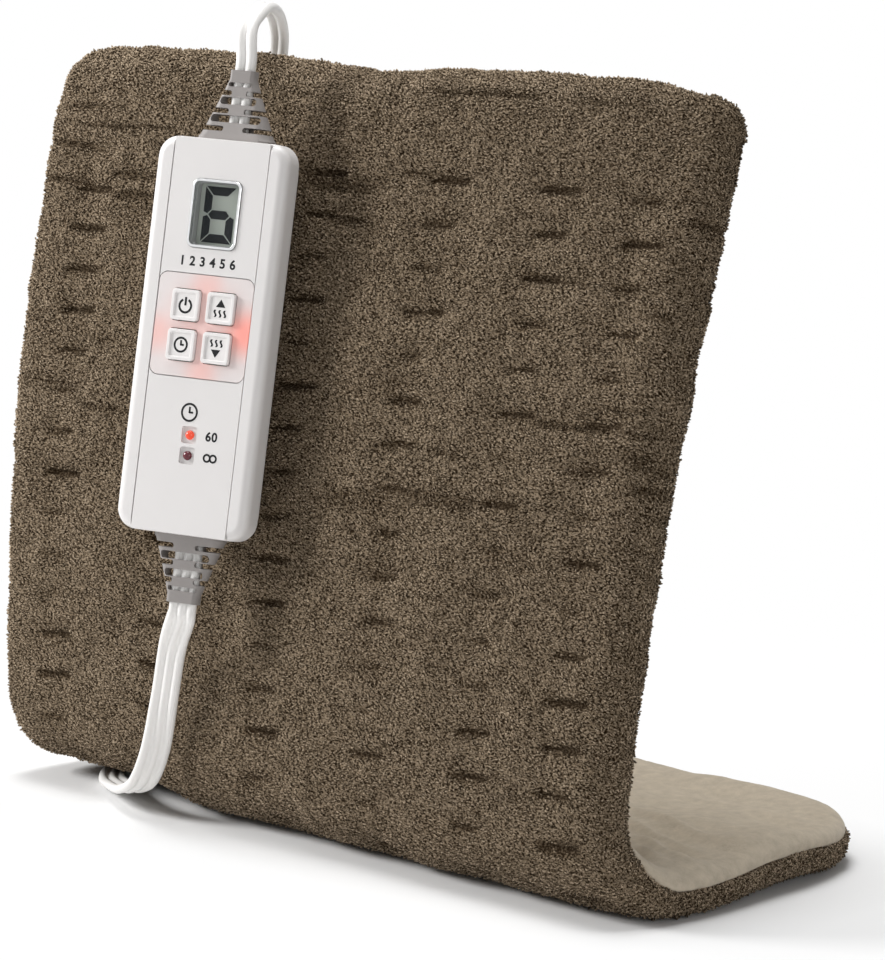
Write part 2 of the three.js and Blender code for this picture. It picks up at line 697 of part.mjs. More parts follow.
// Least gap of a coil to itself, measured between the lines of its cores
function leastGap(cord, centres) {
  const half = (cord.width - cord.thick) / 2;
  let least = Infinity;
  for (let i = 0; i < centres.length; i += 1) {
    for (let j = i + LOOP_STEPS / 2; j < centres.length; j += 1) {
      const [a, b] = [centres[i], centres[j]];
      const between = max(abs(a.z - b.z) - 2 * half, 0);
      least = min(least, hypot(a.x - b.x, a.y - b.y, between) - cord.thick);
    }
  }
  return least;
}

function cordCoil(name, cord, coil, floor) {
  const centres = coilCentres(cord, coil, floor);
  console.log(`${name} least gap to itself ${leastGap(cord, centres).toFixed(2)} mm`);
  return [centres, sweep(centres, centres.map(() => vec(0, 0, 1)), coilSection(cord))];
}

// Controller pieces, in the case's own frame: x right, y up its length, z out of its face

const fromTop = (distance) => CASE_LENGTH / 2 - distance;
const CHANNEL_DEPTH = STRIP_SINK + STRIP_THICK + GAP;
const CEILING = CHANNEL_DEPTH + FACE_WALL;
const KEY_FLANGE_TOP = CEILING + GAP;
const PLUNGER_TOP = KEY_FLANGE_TOP + KEY_FLANGE_THICK + GAP;
const SWITCH_TOP = PLUNGER_TOP + KEY_TRAVEL + GAP;
const BOARD_TOP = SWITCH_TOP + SWITCH_HEIGHT + GAP;
const BOARD_BOTTOM = BOARD_TOP + BOARD_THICK;
const BACK_FLOOR = CASE_DEPTH - CASE_WALL;
const BACK_ROOM = BACK_FLOOR - BOARD_BOTTOM - 2 * GAP;
const BOARD_WIDTH = CASE_WIDTH - 2 * BOARD_SIDE_INSET;
const BOARD_LENGTH = CASE_LENGTH - 2 * BOARD_END_INSET;
const POST_X = BOARD_WIDTH / 2 - POST_SIDE_INSET;
const POST_Y = BOARD_LENGTH / 2 - POST_END_INSET;
const SCREW_X = CASE_WIDTH / 2 - SCREW_SIDE_INSET;
const SCREW_Y = CASE_LENGTH / 2 - SCREW_END_INSET;
const KEYPAD_Y = fromTop(KEYPAD_FROM_TOP);
const LCD_Y = fromTop(LCD_FROM_TOP);
const STRIP_LEVELS = [-STRIP_SINK - STRIP_THICK, -STRIP_SINK];
const KEYS = [
  ['power', -1, 1], ['heat_up', 1, 1], ['timer', -1, -1], ['heat_down', 1, -1],
].map(([name, x, y]) => ({ name, place: [x * KEY_SPACING / 2, KEYPAD_Y + y * KEY_SPACING / 2] }));
const LEDS = LED_NAMES.map((name, i) => ({ name, place: [0, fromTop(LED_FROM_TOP[i])] }));
const SCREW_PLACES = [[-1, 1], [1, 1], [-1, -1], [1, -1]].map(([x, y]) => [x * SCREW_X, y * SCREW_Y]);
const CORNER_NAMES = ['upper_left', 'upper_right', 'lower_left', 'lower_right'];
const LIGHT_SLOT_X = (KEY_SPACING + KEY_SIZE + STRIP_WIDTH) / 4 + GAP / 2;

const FRONT_STEPS = [
  [0, FACE_ROUND], [0.2 * FACE_ROUND, 0.4 * FACE_ROUND], [0.6 * FACE_ROUND, 0.1 * FACE_ROUND],
  [FACE_ROUND, 0], [PARTING_DEPTH, 0],
];
const BACK_STEPS = [
  [PARTING_DEPTH + GAP, 0], [CASE_DEPTH - BACK_ROUND, 0.05 * BACK_ROUND],
  [CASE_DEPTH - 0.5 * BACK_ROUND, 0.25 * BACK_ROUND],
  [CASE_DEPTH - 0.14 * BACK_ROUND, 0.6 * BACK_ROUND], [CASE_DEPTH, BACK_ROUND],
];
const BACK_CAVITY = [
  [PARTING_DEPTH - PAST, CASE_WALL], [CASE_DEPTH - 0.9 * BACK_ROUND, CASE_WALL],
  [BACK_FLOOR, CASE_WALL + 0.4 * BACK_ROUND],
];

const keyHole = (key, low) => plate(
  KEY_SIZE + 2 * GAP, KEY_SIZE + 2 * GAP, KEY_CORNER + GAP, key.place, [-low, KEY_PROUD],
);
const reliefOpenings = () => [1, -1].map((end) => box(
  about(0, RELIEF_NECK.x + 2 * GAP),
  about(end * CASE_LENGTH / 2, 4 * CASE_WALL),
  about(-RELIEF_LEVEL, RELIEF_NECK.z + 2 * GAP),
));
const SCREW_TIP = CEILING + SCREW_TIP_WALL;
const screwBore = (place) => rod(SCREW_DIAMETER + 2 * GAP, place, [-CASE_DEPTH - PAST, GAP - SCREW_TIP]);

function frontHousing() {
  const cavity = plate(
    CASE_WIDTH - 2 * CASE_WALL, CASE_LENGTH - 2 * CASE_WALL, CASE_CORNER - CASE_WALL,
    [0, 0], [-PARTING_DEPTH - PAST, -CEILING],
  );
  const channel = box(
    about(0, STRIP_WIDTH + 2 * SEAM), about(0, CASE_LENGTH + 2 * PAST), [-CHANNEL_DEPTH, PAST],
  );
  const view = plate(
    BEZEL_WIDTH - 2 * BEZEL_RIM - 2 * WINDOW_SEAT, BEZEL_HEIGHT - 2 * BEZEL_RIM - 2 * WINDOW_SEAT,
    BEZEL_CORNER / 2, [0, LCD_Y], [-CEILING - PAST, 0],
  );
  const slots = [-1, 1].map((side) => box(
    about(side * LIGHT_SLOT_X, LIGHT_SLOT_WIDTH), about(KEYPAD_Y, LIGHT_SLOT_LENGTH), [-CEILING - PAST, 0],
  ));
  const lamps = LEDS.map(({ place }) => rod(LED_FLANGE_DIAMETER + 2 * GAP, place, [-CEILING - PAST, 0]));
  const keys = KEYS.map((key) => keyHole(key, CEILING + PAST));
  const bosses = SCREW_PLACES.map((place) => rod(BOSS_DIAMETER, place, [-PARTING_DEPTH, MERGE - CEILING]));
  const hollow = cut(caseLoft(FRONT_STEPS), cavity, channel);
  return cut(
    join(hollow, ...bosses), view, ...slots, ...lamps, ...keys, ...reliefOpenings(),
    ...SCREW_PLACES.map(screwBore),
  );
}

function rearHousing() {
  const shell = cut(caseLoft(BACK_STEPS), caseLoft(BACK_CAVITY));
  const low = -BACK_FLOOR - MERGE;
  const bosses = SCREW_PLACES.map((place) => rod(BOSS_DIAMETER, place, [low, -PARTING_DEPTH - GAP]));
  const posts = [-1, 1].flatMap((x) => [-1, 1].map((y) => (
    rod(POST_DIAMETER, [x * POST_X, y * POST_Y], [low, -BOARD_BOTTOM - GAP])
  )));
  const recess = SCREW_RECESS + SCREW_HEAD_HEIGHT + GAP;
  const sinks = SCREW_PLACES.map((place) => (
    rod(SCREW_HEAD_DIAMETER + 2 * GAP, place, [-CASE_DEPTH - PAST, recess - CASE_DEPTH])
  ));
  return cut(
    join(shell, ...bosses, ...posts), ...sinks, ...SCREW_PLACES.map(screwBore), ...reliefOpenings(),
  );
}

// A screw: head in its recess, shank into the front boss
const screw = (place) => {
  const head = SCREW_RECESS - CASE_DEPTH;
  const under = head + SCREW_HEAD_HEIGHT;
  return turned([
    [0, head], [SCREW_HEAD_DIAMETER / 2, head], [SCREW_HEAD_DIAMETER / 2, under],
    [SCREW_DIAMETER / 2, under], [SCREW_DIAMETER / 2, -SCREW_TIP], [0, -SCREW_TIP],
  ], place);
};

// A length of the face strip, shaped at its ends by the case
const stripPiece = (ends) => shared(
  box(about(0, STRIP_WIDTH), ends, STRIP_LEVELS), caseLoft(FRONT_STEPS),
);

function upperStrip() {
  const opening = plate(
    BEZEL_WIDTH + 2 * GAP, BEZEL_HEIGHT + 2 * GAP, BEZEL_CORNER + GAP, [0, LCD_Y], [-CEILING, PAST],
  );
  return cut(stripPiece([KEYPAD_Y + KEYPAD_LENGTH / 2 + GAP, CASE_LENGTH]), opening);
}

function lowerStrip() {
  const pockets = LEDS.map(({ place }) => plate(
    LED_POCKET, LED_POCKET, LED_POCKET_CORNER, place, [-CEILING, PAST],
  ));
  return cut(stripPiece([-CASE_LENGTH, KEYPAD_Y - KEYPAD_LENGTH / 2 - GAP]), ...pockets);
}

const keypadPanel = () => cut(
  plate(STRIP_WIDTH, KEYPAD_LENGTH, KEYPAD_CORNER, [0, KEYPAD_Y], STRIP_LEVELS),
  ...KEYS.map((key) => keyHole(key, CEILING)),
);

// A key: square cap with a raised rim round a dished middle, and a flange that stops it under the face
function keyCap({ place }) {
  const flange = KEY_SIZE + 2 * KEY_FLANGE;
  const body = plate(KEY_SIZE, KEY_SIZE, KEY_CORNER, place, [-KEY_FLANGE_TOP - MERGE, KEY_PROUD]);
  const stop = plate(
    flange, flange, KEY_CORNER, place, [-KEY_FLANGE_TOP - KEY_FLANGE_THICK, -KEY_FLANGE_TOP],
  );
  const wide = KEY_SIZE - 2 * KEY_RIM;
  const dish = ringSolid([
    roundedRing(wide - 2 * KEY_DISH, wide - 2 * KEY_DISH, KEY_CORNER, KEY_PROUD - KEY_DISH),
    roundedRing(wide, wide, KEY_CORNER, KEY_PROUD),
    roundedRing(wide + KEY_DISH, wide + KEY_DISH, KEY_CORNER, KEY_PROUD + KEY_DISH),
  ]).translate(...place, 0);
  return cut(join(body, stop), dish);
}

const plunger = ({ place }) => rod(
  PLUNGER_DIAMETER, place, [-SWITCH_TOP - KEY_TRAVEL - GAP, -PLUNGER_TOP],
);

const switchBody = ({ place }) => cut(
  box(about(place[0], SWITCH_SIZE), about(place[1], SWITCH_SIZE), [GAP - BOARD_TOP, -SWITCH_TOP]),
  rod(
    PLUNGER_DIAMETER + 2 * GAP, place,
    [-SWITCH_TOP - KEY_TRAVEL - GAP - PLUNGER_STROKE_ROOM, PAST - SWITCH_TOP],
  ),
);

const lcdBezel = () => cut(
  plate(BEZEL_WIDTH, BEZEL_HEIGHT, BEZEL_CORNER, [0, LCD_Y], [GAP - CHANNEL_DEPTH, BEZEL_PROUD]),
  plate(
    BEZEL_WIDTH - 2 * BEZEL_RIM, BEZEL_HEIGHT - 2 * BEZEL_RIM, BEZEL_CORNER / 2, [0, LCD_Y],
    [-CEILING, PAST + BEZEL_PROUD],
  ),
);

const lcdWindow = () => plate(
  BEZEL_WIDTH - 2 * BEZEL_RIM - 2 * GAP, BEZEL_HEIGHT - 2 * BEZEL_RIM - 2 * GAP, BEZEL_CORNER / 2,
  [0, LCD_Y], [GAP - CHANNEL_DEPTH, GAP - CHANNEL_DEPTH + WINDOW_THICK],
);

const LCD_BOTTOM = CEILING + GAP + LCD_THICK;
const lcdGlass = () => box(
  about(0, BEZEL_WIDTH + LCD_MARGIN), about(LCD_Y, BEZEL_HEIGHT + LCD_MARGIN), [-LCD_BOTTOM, -CEILING - GAP],
);
const lcdConnector = () => box(
  about(0, BEZEL_WIDTH), about(LCD_Y - BEZEL_HEIGHT / 2 + LCD_CONNECTOR_WIDTH / 2, LCD_CONNECTOR_WIDTH),
  [GAP - BOARD_TOP, -LCD_BOTTOM - GAP],
);

const indicator = ({ place }) => {
  const [r, f] = [LED_DIAMETER / 2, LED_FLANGE_DIAMETER / 2];
  const top = -LED_SINK;
  return turned([
    [0, GAP - BOARD_TOP], [f, GAP - BOARD_TOP], [f, top - LED_LENS], [r, top - LED_LENS], [r, top - r],
    [0.87 * r, top - 0.5 * r], [0.5 * r, top - 0.13 * r], [0, top],
  ], place);
};

// Parts on the back of the board hang 0.3 mm below it, those on the front stand as far above
const onBoardBack = ({ x, y, z, at }) => box(
  about(at[0], x), about(at[1], y), [-BOARD_BOTTOM - GAP - z, -BOARD_BOTTOM - GAP],
);
const glowLamp = (side) => box(
  about(side * LIGHT_SLOT_X, GLOW_LED.x), about(KEYPAD_Y, GLOW_LED.y),
  [GAP - BOARD_TOP, GAP - BOARD_TOP + GLOW_LED.z],
);
const fuse = () => rod(FUSE_DIAMETER, [0, 0], about(0, FUSE_LENGTH))
  .rotateX(PI / 2).translate(
    FUSE_SIDE_INSET - BOARD_WIDTH / 2, BOARD_LENGTH / 2 - FUSE_END_INSET,
    -BOARD_BOTTOM - GAP - FUSE_DIAMETER / 2,
  );

// A strain relief: flange and neck held in the case's end, then an oval that flares to the case
function ovalRing(width, thick, y) {
  const ring = [];
  for (let k = 0; k < OVAL_SIDES; k += 1) {
    const angle = k / OVAL_SIDES * 2 * PI;
    const square = (value) => Math.sign(value) * abs(value) ** OVAL_POWER;
    ring.push(vec(square(cos(angle)) * width / 2, y, square(sin(angle)) * thick / 2));
  }
  return ring;
}

function strainRelief(size, cord) {
  const inside = -CASE_WALL - GAP;
  const flange = [RELIEF_NECK.x + 2 * RELIEF_FLANGE.x, RELIEF_NECK.z + 2 * RELIEF_FLANGE.z];
  const flare = RELIEF_FLARE.map((share) => {
    const spread = (1 - share) ** RELIEF_FLARE_POWER;
    return [
      lerp(size.endWidth, size.width, spread), lerp(size.endThick, size.thick, spread),
      lerp(GAP, size.length, share),
    ];
  });
  const body = ringSolid([
    [...flange, inside - RELIEF_FLANGE_THICK], [...flange, inside],
    [RELIEF_NECK.x, RELIEF_NECK.z, inside], [RELIEF_NECK.x, RELIEF_NECK.z, GAP],
    [size.width, size.thick, GAP], ...flare,
  ].map((step) => ovalRing(...step)));
  const bore = box(
    about(0, cord.width + 2 * GAP), about(0, 4 * size.length), about(0, cord.thick + 2 * GAP),
  );
  const run = size.length - 2 * RELIEF_COLLAR;
  const pitch = run / RELIEF_SLOTS;
  const cuts = [];
  for (let k = 0; k < RELIEF_SLOTS; k += 1) {
    const span = [RELIEF_COLLAR + k * pitch, RELIEF_COLLAR + (k + 1) * pitch - RELIEF_RIB];
    const spine = cord.width / 2 + GAP + RELIEF_WALL;
    if (k % 2) cuts.push(box(about(0, cord.width), span, [-size.thick, size.thick]));
    else cuts.push(...[-1, 1].map((side) => (
      box(side > 0 ? [spine, size.width] : [-size.width, -spine], span, [-size.thick, size.thick])
    )));
  }
  return cut(body, bore, ...cuts);
}

// Plug, lying on its edge with its blades one above the other, pointing along +x from its origin
function plugBody() {
  const section = (wide, thick, x) => roundedRing(thick, wide, PLUG.corner, 0).map((p) => vec(x, p.x, p.y));
  const neck = [MAINS.width + 2 * PLUG.wall, MAINS.thick + 2 * PLUG.wall];
  const body = ringSolid([
    section(...neck, 0), section(neck[0] + PLUG.nose, neck[1] + PLUG.nose, PLUG.tail),
    section(PLUG.wide, PLUG.thick, PLUG.tail + PLUG.shoulder),
    section(PLUG.wide, PLUG.thick, PLUG.long - PLUG.nose),
    section(PLUG.wide - 2 * PLUG.nose, PLUG.thick - 2 * PLUG.nose, PLUG.long),
  ]);
  const slots = Object.values(BLADE_WIDTHS).map((width, i) => box(
    [PLUG.long - BLADE.seat - GAP, PLUG.long + PAST], about(0, width + 2 * GAP),
    about((i - 0.5) * BLADE.apart, BLADE.thick + 2 * GAP),
  ));
  return cut(body, ...slots);
}

const plugBlade = (width, i) => box(
  [PLUG.long - BLADE.seat, PLUG.long - BLADE.seat + BLADE.long], about(0, width),
  about((i - 0.5) * BLADE.apart, BLADE.thick),
);

// Assembly

const part = new THREE.Group();
const standing = new THREE.Group();
part.add(standing);

function add(group, name, geometry, material) {
  const mesh = new THREE.Mesh(geometry, material);
  mesh.name = name;
  group.add(mesh);
  return mesh;
}

add(standing, 'plush_cover', plushCover(), PLUSH);
add(standing, 'front_batting', batting(PLUSH_THICK + GAP, FRONT_BATTING_THICK), BATTING);
add(standing, 'heating_wire', heatingWire(), BRASS);
add(standing, 'rear_batting', batting(REAR_BATTING_DEPTH, REAR_BATTING_THICK), BATTING);
add(standing, 'fleece_back', fleeceBack(), FLEECE);
for (const place of THERMOSTAT_PLACES) add(standing, place[0], thermostatBlock(place, 0), DARK);
add(standing, 'wire_junction', junctionBlock(0), WHITE);
add(standing, 'lead_gland', leadGland(), GREY);

const controller = new THREE.Group();
const upright = new THREE.Matrix4().makeRotationX(PI / 2);
const facing = new THREE.Matrix4().makeRotationZ(HANG_TURN)
  .multiply(new THREE.Matrix4().makeRotationX(-HANG_LEAN)).multiply(upright)
  .multiply(new THREE.Matrix4().makeRotationZ(-HANG_ROLL));
controller.quaternion.setFromRotationMatrix(facing);
const resting = vec(CASE_WIDTH / 2 - BACK_ROUND, REST_HEIGHT_ON_CASE, -CASE_DEPTH)
  .applyQuaternion(controller.quaternion);
controller.position.copy(onPad(REST_X, REST_U, PAD_THICK / 2 + 2 * GAP)).sub(resting);
standing.add(controller);

add(controller, 'front_housing', frontHousing(), WHITE);
add(controller, 'rear_housing', rearHousing(), WHITE);
add(controller, 'upper_face_strip', upperStrip(), WHITE);
add(controller, 'keypad_panel', keypadPanel(), GLOW_PANEL);
add(controller, 'lower_face_strip', lowerStrip(), WHITE);
for (const key of KEYS) {
  add(controller, `button_${key.name}`, keyCap(key), KEY_GREY);
  add(controller, `plunger_${key.name}`, plunger(key), DARK);
  add(controller, `switch_${key.name}`, switchBody(key), DARK);
}
add(controller, 'lcd_bezel', lcdBezel(), CHROME);
add(controller, 'lcd_window', lcdWindow(), CLEAR);
add(controller, 'lcd_glass', lcdGlass(), LCD_GLASS);
add(controller, 'lcd_connector', lcdConnector(), DARK);
for (const lamp of LEDS) add(controller, lamp.name, indicator(lamp), RED);
add(controller, 'keypad_lamp_left', glowLamp(-1), RED);
add(controller, 'keypad_lamp_right', glowLamp(1), RED);
add(controller, 'circuit_board', box(
  about(0, BOARD_WIDTH), about(0, BOARD_LENGTH), [-BOARD_BOTTOM, -BOARD_TOP],
), BOARD_GREEN);
add(controller, 'triac', onBoardBack(TRIAC), DARK);
add(controller, 'capacitor', onBoardBack(
  { ...CAPACITOR, z: BACK_ROOM - CAPACITOR_CLEARANCE },
), CERAMIC);
add(controller, 'processor', onBoardBack(PROCESSOR), DARK);
add(controller, 'fuse', fuse(), CLEAR);
SCREW_PLACES.forEach((place, i) => add(controller, `case_screw_${CORNER_NAMES[i]}`, screw(place), STEEL));
const mainsRelief = add(controller, 'mains_relief', strainRelief(MAINS_RELIEF, MAINS), GREY);
mainsRelief.position.set(0, CASE_LENGTH / 2, -RELIEF_LEVEL);
const leadRelief = add(controller, 'lead_relief', strainRelief(LEAD_RELIEF, LEAD), GREY);
leadRelief.position.set(0, -CASE_LENGTH / 2, -RELIEF_LEVEL);
leadRelief.rotation.z = PI;

// Cords: inside the reliefs they follow the case, then they go through the chosen points
standing.updateMatrixWorld(true);
const onCase = (y) => controller.localToWorld(vec(0, y, -RELIEF_LEVEL));
const caseRight = vec(1, 0, 0).applyQuaternion(controller.quaternion);
const baseTop = PAD_THICK + GAP;

const [mainsCoil, mainsCoilSolid] = cordCoil('mains_coil', MAINS, MAINS_COIL, baseTop);
const [leadCoil, leadCoilSolid] = cordCoil('lead_coil', LEAD, LEAD_COIL, GAP);
const sideways = vec(1, 0, 0);
const upwards = vec(0, 0, 1);
const onwards = (end, before, distance) => end.clone().sub(before).setLength(distance).add(end);
const beforeCoil = (coil, distance) => [onwards(coil[0], coil[1], distance), upwards];
const afterCoil = (coil, distance) => [onwards(coil.at(-1), coil.at(-2), distance), upwards];

const mainsRoute = [
  [onCase(CASE_LENGTH / 2 - CORD_INSIDE), caseRight],
  [onCase(CASE_LENGTH / 2 + MAINS_RELIEF.length / 2), caseRight],
  [onCase(CASE_LENGTH / 2 + MAINS_RELIEF.length), caseRight],
  [onCase(CASE_LENGTH / 2 + MAINS_RELIEF.length + MAINS.thick), caseRight],
  [vec(-37.5, -6, 268), caseRight],
  [vec(-41.5, 2, 273.5), sideways],
  [vec(-47.5, 12, 275.3), sideways],
  [vec(-54.5, 23, 271.5), sideways],
  [vec(-61, 31, 263), sideways],
  [vec(-66, 34, 250), sideways],
  [vec(-71, 32, 215), sideways],
  [vec(-74, 24, 150), sideways],
  [vec(-76, 14, 80), sideways],
  [vec(-77, 8, 42), sideways],
  [vec(-76.5, 11, 27), sideways],
  [vec(-74, 22, 21.4), sideways],
  [vec(-69, 40, 20.8), vec(0.6, 0, 0.8)],
  beforeCoil(mainsCoil, MAINS.width),
  beforeCoil(mainsCoil, GAP),
];
add(standing, 'mains_cord', cordStretch(MAINS, mainsRoute), CORD_WHITE);
add(standing, 'mains_coil', mainsCoilSolid, CORD_WHITE);

const plug = new THREE.Group();
plug.position.set(PLUG_PLACE.x, PLUG_PLACE.y, baseTop + PLUG.wide / 2);
plug.rotation.z = PLUG_HEADING;
standing.add(plug);
const plugHeading = vec(cos(PLUG_HEADING), sin(PLUG_HEADING), 0);
const behindPlug = (distance) => [plug.position.clone().addScaledVector(plugHeading, -distance), upwards];
add(standing, 'mains_tail', cordStretch(MAINS, [
  afterCoil(mainsCoil, GAP),
  afterCoil(mainsCoil, MAINS.thick),
  behindPlug(MAINS.width),
  behindPlug(GAP),
]), CORD_WHITE);
add(plug, 'plug_body', plugBody(), CORD_WHITE);
Object.entries(BLADE_WIDTHS).forEach(([name, width], i) => add(plug, name, plugBlade(width, i), BRASS));

const leadRoute = [
  [onCase(CORD_INSIDE - CASE_LENGTH / 2), caseRight],
  [onCase(-CASE_LENGTH / 2 - LEAD_RELIEF.length / 2), caseRight],
  [onCase(-CASE_LENGTH / 2 - LEAD_RELIEF.length), caseRight],
  [onCase(-CASE_LENGTH / 2 - LEAD_RELIEF.length - LEAD.thick), caseRight],
  [vec(-44, -36, 60), caseRight],
  [vec(-53, -33.5, 40), caseRight],
  [vec(-60, -31.4, 24), vec(0.7, 0.7, 0)],
  [vec(-70, -26.8, 11), vec(0.62, 0.78, 0)],
  [vec(-83, -18.5, 4.2), vec(0.6, 0.8, 0)],
  [vec(-98, -8, 2.2), vec(0.6, 0.8, 0)],
  [vec(-111, 3, 2.2), vec(0.7, 0.7, 0)],
  [vec(-119, 19, 2.2), vec(0.95, 0.3, 0)],
  [vec(-121, 42, 2.2), vec(1, 0, 0)],
  [vec(-121.5, 66, 2.2), vec(1, 0.1, 0)],
  [vec(-127, 87, 2.2), vec(0.85, 0.5, 0)],
  [vec(-139, 101.5, 2.4), vec(0.6, 0.8, 0)],
  [vec(-153, 107.5, 4), vec(0.2, 0.7, 0.7)],
  beforeCoil(leadCoil, LEAD.width),
  beforeCoil(leadCoil, GAP),
];
add(standing, 'pad_lead', cordStretch(LEAD, leadRoute), CORD_WHITE);
add(standing, 'lead_coil', leadCoilSolid, CORD_WHITE);
const glandEnd = PLUSH_RIM - GAP - PAD_WIDTH / 2;
const flatwise = vec(0, 1, 0);
add(standing, 'lead_tail', cordStretch(LEAD, [
  afterCoil(leadCoil, GAP),
  afterCoil(leadCoil, LEAD.thick),
  [vec(-PAD_WIDTH / 2 - 11, GLAND_Y + 0.3, GLAND_Z + 0.6), vec(0, 0.8, 0.6)],
  [vec(-PAD_WIDTH / 2 - 4, GLAND_Y, GLAND_Z), flatwise],
  [vec(glandEnd, GLAND_Y, GLAND_Z), flatwise],
]), CORD_WHITE);

// The origin is under the middle of the pad and the controller, on the surface they stand on
const CORD_PIECES = ['mains_', 'pad_lead', 'lead_coil', 'lead_tail', 'plug_'];
const bounds = new THREE.Box3();
standing.updateMatrixWorld(true);
standing.traverse((piece) => {
  const cordPiece = CORD_PIECES.some((start) => piece.name.startsWith(start));
  if (piece.isMesh && (!cordPiece || piece.name.endsWith('_relief'))) bounds.expandByObject(piece, true);
});
const middle = bounds.getCenter(vec(0, 0, 0));
standing.position.set(-middle.x, -middle.y, -bounds.min.z);

export default part;
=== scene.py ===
"""Looks of a folded heating pad with its hand controller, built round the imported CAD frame."""

from math import cos, pi, radians, sin

import bmesh
import bpy
import numpy as np
from bpy.props import FloatProperty, FloatVectorProperty, IntProperty, PointerProperty
from mathutils import Matrix, Vector


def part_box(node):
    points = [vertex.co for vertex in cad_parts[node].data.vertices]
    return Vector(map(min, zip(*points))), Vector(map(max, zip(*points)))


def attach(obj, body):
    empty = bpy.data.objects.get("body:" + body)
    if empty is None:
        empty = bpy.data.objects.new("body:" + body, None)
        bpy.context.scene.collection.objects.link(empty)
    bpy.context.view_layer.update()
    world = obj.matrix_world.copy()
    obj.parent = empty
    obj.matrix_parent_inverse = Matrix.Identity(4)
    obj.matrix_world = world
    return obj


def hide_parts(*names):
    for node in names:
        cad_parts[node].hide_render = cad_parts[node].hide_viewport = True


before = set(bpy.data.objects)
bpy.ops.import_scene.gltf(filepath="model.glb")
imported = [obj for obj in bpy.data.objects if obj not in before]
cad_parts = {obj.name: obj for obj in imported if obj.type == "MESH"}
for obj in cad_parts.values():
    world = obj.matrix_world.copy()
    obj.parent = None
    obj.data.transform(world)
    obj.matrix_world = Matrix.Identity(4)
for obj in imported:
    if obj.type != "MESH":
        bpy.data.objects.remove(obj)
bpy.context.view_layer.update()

bl_info = {
    "name": "Heating pad with controller",
    "version": (1, 0, 0),
    "blender": (4, 5, 0),
    "location": "View3D > Sidebar > Heating pad",
    "description": "Dresses the packed heating pad in plush, fleece, cords and a finished controller",
    "category": "Object",
}

MM = 0.001
TAU = 2 * pi

# The pad as it is cut and folded, in millimetres
PAD_WIDTH = 305
PAD_LENGTH = 381
PAD_THICK = 15.5
TOP_CORNER = 18
REAR_CORNER = 48
EDGE_ROUND = 7
BASE_RUN = 115
MID_RADIUS = 11 + PAD_THICK / 2
LEAN_LEFT = radians(-0.6)
LEAN_RIGHT = radians(8.7)
CURL_LEFT = 1 / 800
CURL_RIGHT = 1 / 1266
BEND_RUN = MID_RADIUS * (pi / 2 + (LEAN_LEFT + LEAN_RIGHT) / 2)
LEAD_LIFT = 5
LIFT_FROM = -64.5
LIFT_FULL = -94.5
SEAM_DEPTH = 9.4
FLARE = 8.5
FLARE_BACK = 5.5
CORNER_POINT = 5
SAG_MIDDLE = 2.8
SAG_RIGHT = 5
SAG_LEFT = 1.4
SAG_RUN = 70
BASE_SWELL = 2
TACK_ROW = 14.35
TACK_COLUMNS = (-122.5, -67, -11, 43, 91, 130)
TACK_FIRST = 140.8

# The controller's case in its own frame: x right, y up its length, z out of its face
CASE_WIDTH = 48
CASE_LENGTH = 131
CASE_DEPTH = 20.5
CASE_CORNER = 7
PARTING = -8.5
STRIP_WIDTH = 35.5
BOARD_MIDDLE = -10.9
RELIEF_LEVEL = -9.6
KEYPAD_Y = CASE_LENGTH / 2 - 62.1
KEYPAD_LENGTH = 34
KEY_SPACING = 13.2
KEY_SIZE = 10.3
LCD_Y = CASE_LENGTH / 2 - 24.9
LAMP_Y = (CASE_LENGTH / 2 - 97.9, CASE_LENGTH / 2 - 104.7)
CASE_TURN = (
    Matrix.Rotation(radians(22), 4, "Z")
    @ Matrix.Rotation(radians(80), 4, "X")
    @ Matrix.Rotation(radians(-2.6), 4, "Z")
)


def sheet_origin():
    """Where the fold's centre line lies in the row frame, from the plush node's box."""
    low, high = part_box("plush_cover")
    return Vector(((low.x + high.x) / 2, high.y - BASE_RUN * MM, 0))


ORIGIN = sheet_origin()


def case_matrix():
    """The case's frame in the row frame, found from the circuit board's corners."""
    axes = CASE_TURN.to_3x3()
    corners = [axes.transposed() @ vertex.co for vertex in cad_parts["circuit_board"].data.vertices]
    middle = Vector((min(c[k] for c in corners) + max(c[k] for c in corners)) / 2 for k in range(3))
    middle.z -= BOARD_MIDDLE * MM
    return Matrix.Translation(axes @ middle) @ CASE_TURN


CASE = case_matrix()


def to_row(points):
    """Millimetre points of the fold frame as metre points of the row frame."""
    return np.asarray(points, float) * MM + np.array(ORIGIN)


def on_case(x, y, z):
    """A point of the case's frame, in millimetres of the fold frame."""
    return np.array((CASE @ Vector((x * MM, y * MM, z * MM)) - ORIGIN) / MM)


# ---------------------------------------------------------------- settings


